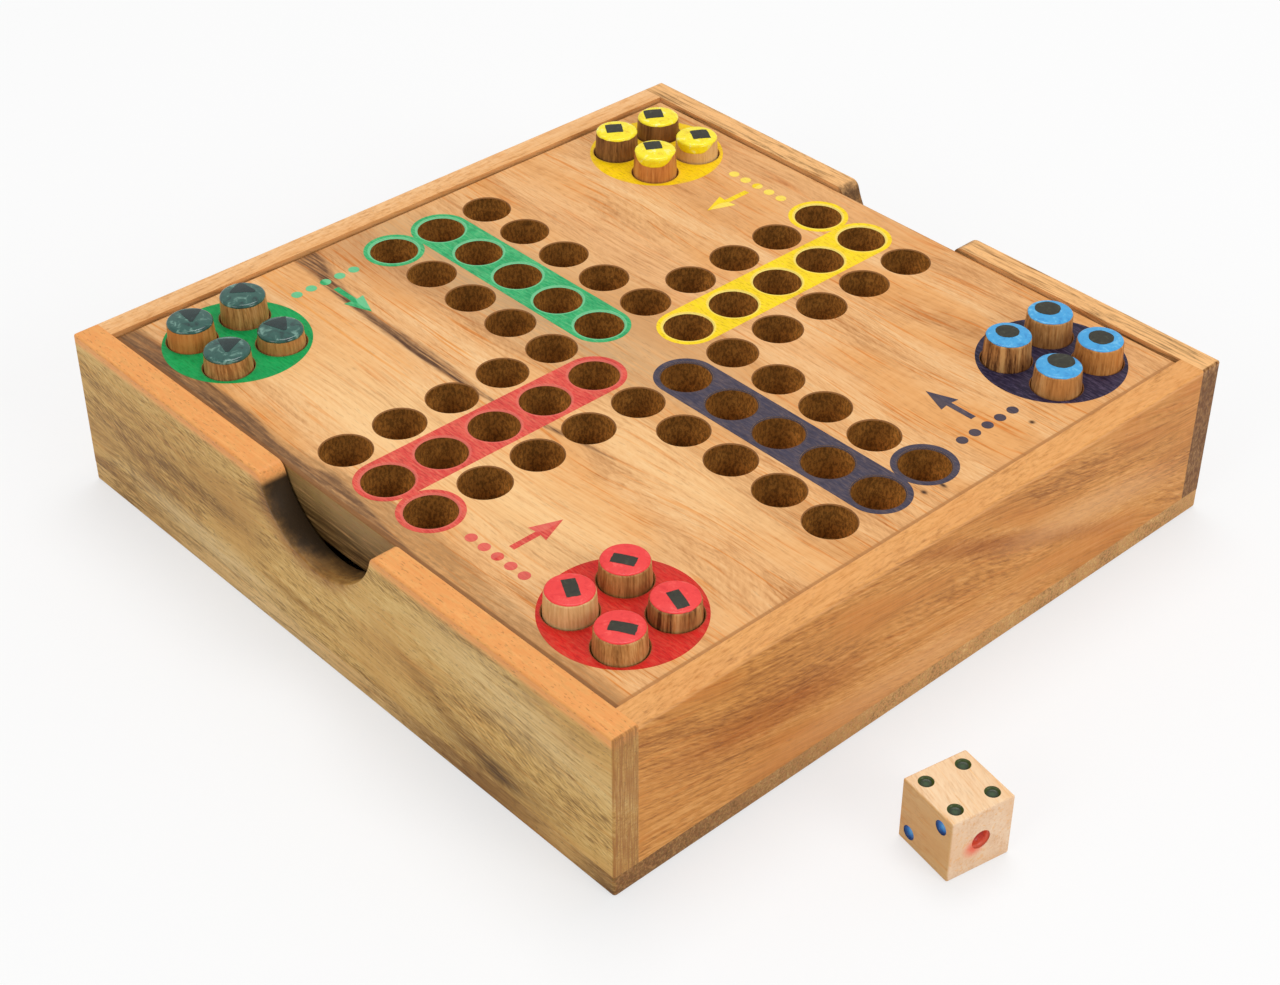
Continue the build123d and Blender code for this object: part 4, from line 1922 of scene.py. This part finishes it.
@dataclass
class Pegs:
    """The sixteen pegs with their enamelled tops. Sizes in mm."""

    board_top: float = 41.5
    top_radius: float = 5.45
    ease: float = 0.7
    dome: float = 0.3
    taper: float = 0.3
    skin: float = 0.05
    marks: dict[str, Mark] = field(
        default_factory=lambda: {
            "green": Mark.WEDGE, "yellow": Mark.SQUARE, "red": Mark.BAR, "blue": Mark.DOT,
        }
    )

    def looks(self) -> dict[str, tuple[PegLook, ...]]:
        """Every peg's look, by colour and number.

        Returns:
            The looks by colour, in the order of the pegs' numbers.
        """
        return {
            "green": (
                PegLook(PegWood.GOLDEN, 5.4, 5.8, -8.0, (-1.0, 0.6), 1.1, 0.25),
                PegLook(PegWood.GOLDEN, 5.2, 5.4, 28.0, (-1.0, 1.4), 1.1, 0.25),
                PegLook(PegWood.GOLDEN, 5.4, 5.4, -40.0, (-0.6, 0.9), 1.2, 0.25),
                PegLook(PegWood.AMBER, 5.2, 5.2, -30.0, (-1.0, 1.0), 1.1, 0.25),
            ),
            "yellow": (
                PegLook(PegWood.AMBER, 4.2, 4.1, -31.0, (-1.8, 0.8), 0.7, 0.3, 2.0, -0.9),
                PegLook(PegWood.BROWN, 4.2, 4.1, -35.0, (-0.9, -0.1), 0.9, 0.3),
                PegLook(PegWood.PALE, 4.4, 4.3, -29.0, (0.4, 0.9), 0.9, 0.4, 2.0, -1.0),
                PegLook(PegWood.BROWN, 4.5, 4.5, -34.0, (-1.4, -0.4), 0.9, 0.3),
            ),
            "red": (
                PegLook(PegWood.GOLDEN, 4.9, 2.7, 29.0, (0.2, -0.5), 0.55, 0.15),
                PegLook(PegWood.FIGURED, 5.0, 2.6, -18.0, (1.1, -0.4), 0.5, 0.2),
                PegLook(PegWood.PALE, 5.2, 2.8, -29.0, (0.0, 0.3), 0.55, 0.15),
                PegLook(PegWood.GOLDEN, 5.2, 2.8, 32.0, (0.8, 0.0), 0.55, 0.15),
            ),
            "blue": (
                PegLook(PegWood.FIGURED, 5.0, 5.0, 0.0, (-0.9, 0.5), 0.6, 0.2),
                PegLook(PegWood.GOLDEN, 5.8, 5.8, 20.0, (-0.8, 1.7), 0.6, 0.2),
                PegLook(PegWood.GOLDEN, 5.5, 5.5, 40.0, (-1.2, 0.5), 0.6, 0.25),
                PegLook(PegWood.AMBER, 5.3, 5.3, 70.0, (-0.1, 0.2), 0.6, 0.2),
            ),
        }

    def enamels(self) -> dict[str, tuple[str, Enamel]]:
        """Each colour's enamel, with its slot.

        Returns:
            The slots and enamels by colour.
        """
        return {
            "green": ("teal_enamel", Enamel(
                "teal_enamel", tone(38, 86, 76), tone(16, 48, 46), tone(112, 152, 138),
                2.4, 1.0, 0.1, 0.6,
            )),
            "yellow": ("yellow_paint", Enamel(
                "yellow_enamel", tone(250, 230, 20), tone(234, 196, 14), tone(248, 242, 140),
                2.0, 0.95, 0.22, 0.3,
            )),
            "red": ("red_paint", Enamel(
                "red_enamel", tone(236, 58, 56), tone(216, 34, 38), tone(248, 92, 84),
                1.6, 0.7, 0.3, 0.2,
            )),
            "blue": ("sky_blue_enamel", Enamel(
                "sky_blue_enamel", tone(64, 160, 216), tone(34, 120, 188), tone(120, 196, 234),
                1.8, 0.7, 0.25, 0.3,
            )),
        }

    def build(self) -> None:
        """Dresses the pegs and paints their tops."""
        woods = {wood: wood.value.dress() for wood in PegWood}
        black = Enamel(
            "black_enamel", tone(46, 44, 30), tone(30, 30, 22), tone(66, 66, 50), 1.2, 0.9, 0.4, 0.05
        )
        shade = Enamel(
            "shade_enamel", tone(18, 42, 40), tone(10, 26, 26), tone(34, 62, 58), 1.6, 0.7, 0.2, 0.3
        )
        mark_finishes = {"green": shade.dress(), "black": black.dress()}
        cap_tree, mark_tree = enamel_cap(), painted_mark()
        enamels = {colour: (slot, enamel.dress()) for colour, (slot, enamel) in self.enamels().items()}
        seed = 0
        for colour, looks in self.looks().items():
            for number, look in enumerate(looks, start=1):
                seed += 1
                body = f"peg_{colour}_{number}"
                recoat([body], woods[look.wood])
                low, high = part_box(body)
                x, y, top = (low.x + high.x) / 2, (low.y + high.y) / 2, high.z
                stand = top / MM - self.board_top
                slot, enamel = enamels[colour]
                values = {
                    "Radius": self.top_radius, "Ease": self.ease, "Dome": self.dome,
                    "Flare": self.taper / (stand - self.dome - self.ease), "Skin": self.skin,
                    "Spill": look.spill, "Ragged": look.ragged, "Run": look.run, "Heading": look.heading,
                    "Seed": float(seed), "Place": (x, y, top), "Finish": enamel,
                }
                fit_out(cap_tree.form(f"enamel_{colour}_{number}", values), body)
                roundness, taper = self.marks[colour].value
                values = {
                    "Length": look.length, "Width": look.width, "Roundness": roundness, "Taper": taper,
                    "Turn": radians(look.turn), "Aside X": look.aside[0], "Aside Y": look.aside[1],
                    "Dome": self.dome, "Flat": self.top_radius - self.ease, "Seed": float(seed),
                    "Place": (x, y, top), "Finish": mark_finishes.get(colour, mark_finishes["black"]),
                }
                fit_out(mark_tree.form(f"mark_{colour}_{number}", values), body)
            log.info("pegs: %d %s ones", len(looks), colour)


@dataclass
class Die:
    """The die with its painted pips. Sizes in mm."""

    side: float = 16.0
    turn: float = -10.5
    spread: float = 4.7
    pip: float = 3.4
    pip_depth: float = 0.8
    ace: float = 4.6
    ace_depth: float = 2.2

    def wood(self) -> Wood:
        """The die's pale wood with orange streaks, and paint smeared beside the ace.

        Returns:
            The wood.
        """
        half = self.side / 2
        return Wood(
            name="die_wood",
            dark=tone(222, 172, 122),
            body=tone(240, 204, 162),
            pale=tone(248, 220, 182),
            warm=tone(238, 192, 142),
            grain=Axis.X,
            face=Axis.Y,
            slope=0.12,
            sway=1.5,
            band=4.0,
            bands=0.7,
            rings=0.0,
            fibres=0.5,
            flecks=0.6,
            lines=0.8,
            line_colour=(1.0, 0.84, 0.62),
            pores=0.08,
            polish=0.36,
            stains=(
                # Painted shade: the -Y face tinted darker, and the +X face a little darker and cooler than
                # the top.
                Beyond(colour=tone(224, 210, 176), across=Axis.Y, start=0.5 - half, full=-half),
                Beyond(colour=tone(246, 246, 255), across=Axis.X, start=half - 0.5, full=half),
                Cloud(
                    colour=tone(234, 106, 80), strength=1.0, blend=Blend.COVER, along=Axis.Y, across=Axis.Z,
                    centre=(-1.6, -1.3), reach=(3.7, 3.3), ragged=0.5,
                ),
            ),
        )

    def pips(self, count: int) -> list[Pair]:
        """Where one face's pips lie, from the middle of the face.

        Args:
            count: How many it has.

        Returns:
            Their places.
        """
        s = self.spread
        places = [(0.0, 0.0)] if count % 2 else []
        if count > 1:
            places += [(s, s), (-s, -s)]
        if count > 3:
            places += [(s, -s), (-s, s)]
        if count == 6:
            places += [(s, 0.0), (-s, 0.0)]
        return places

    def pits(self, faces: dict[int, tuple[Vector, Vector]], centre: Vector) -> bpy.types.Mesh:
        """One point for each pip of some faces, with the way that it faces.

        Args:
            faces: The faces by their count, each as the way it faces and its first direction.
            centre: The die's middle.

        Returns:
            The points as a mesh.
        """
        spin = Matrix.Rotation(radians(self.turn), 3, "Z")
        points, ways = [], []
        for count, (out, first) in faces.items():
            second = out.cross(first)
            for u, v in self.pips(count):
                local = (out * self.side / 2 + first * u + second * v) * MM
                points.append(centre + spin @ local)
                ways.append(spin @ out)
        mesh = bpy.data.meshes.new("pits")
        mesh.from_pydata(points, [], [])
        facing = mesh.attributes.new("facing", "FLOAT_VECTOR", "POINT")
        for place, way in zip(facing.data, ways):
            place.vector = way
        return mesh

    def build(self) -> None:
        """Dresses the die and paints its pips."""
        low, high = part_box("die")
        centre = (low + high) / 2
        recoat(["die"], self.wood().dress(tuple(value / MM for value in centre), self.turn))
        x, y, z = Vector((1, 0, 0)), Vector((0, 1, 0)), Vector((0, 0, 1))
        green = PipPaint("pip_green", tone(60, 76, 14), tone(28, 42, 12), tone(52, 76, 44))
        blue = PipPaint("pip_blue", tone(18, 64, 124), tone(30, 116, 196), tone(84, 166, 226))
        red = PipPaint("pip_red", tone(228, 92, 62), tone(186, 32, 20), tone(128, 12, 8))
        sets = {
            "green": ({4: (z, x), 3: (-z, x), 6: (-x, y)}, "green_paint", green, self.pip, self.pip_depth),
            "blue": ({2: (-y, x), 5: (y, x)}, "navy_paint", blue, self.pip, self.pip_depth),
            "red": ({1: (x, y)}, "red_paint", red, self.ace, self.ace_depth),
        }
        tree = pip_paint()
        for name, (faces, slot, enamel, wide, deep) in sets.items():
            values = {
                "Radius": wide / 2 + 0.01, "Depth": deep, "Fill": 0.15, "Rise": deep - 0.2,
                "Place": (0.0, 0.0, 0.0), "Finish": enamel.dress(),
            }
            piece = tree.form(f"pips_{name}", values, self.pits(faces, centre))
            fit_out(piece, "die")
        log.info("die: pips in %d colours", len(sets))


def main() -> None:
    """Builds the whole scene, one sub-assembly after the other."""
    logging.basicConfig(level=logging.INFO, format="%(name)s: %(message)s")
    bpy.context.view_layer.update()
    Viewpoint().build()
    Studio().build()
    GameBox().build()
    Board().build()
    Pegs().build()
    Die().build()


if __name__ == "__main__":
    main()
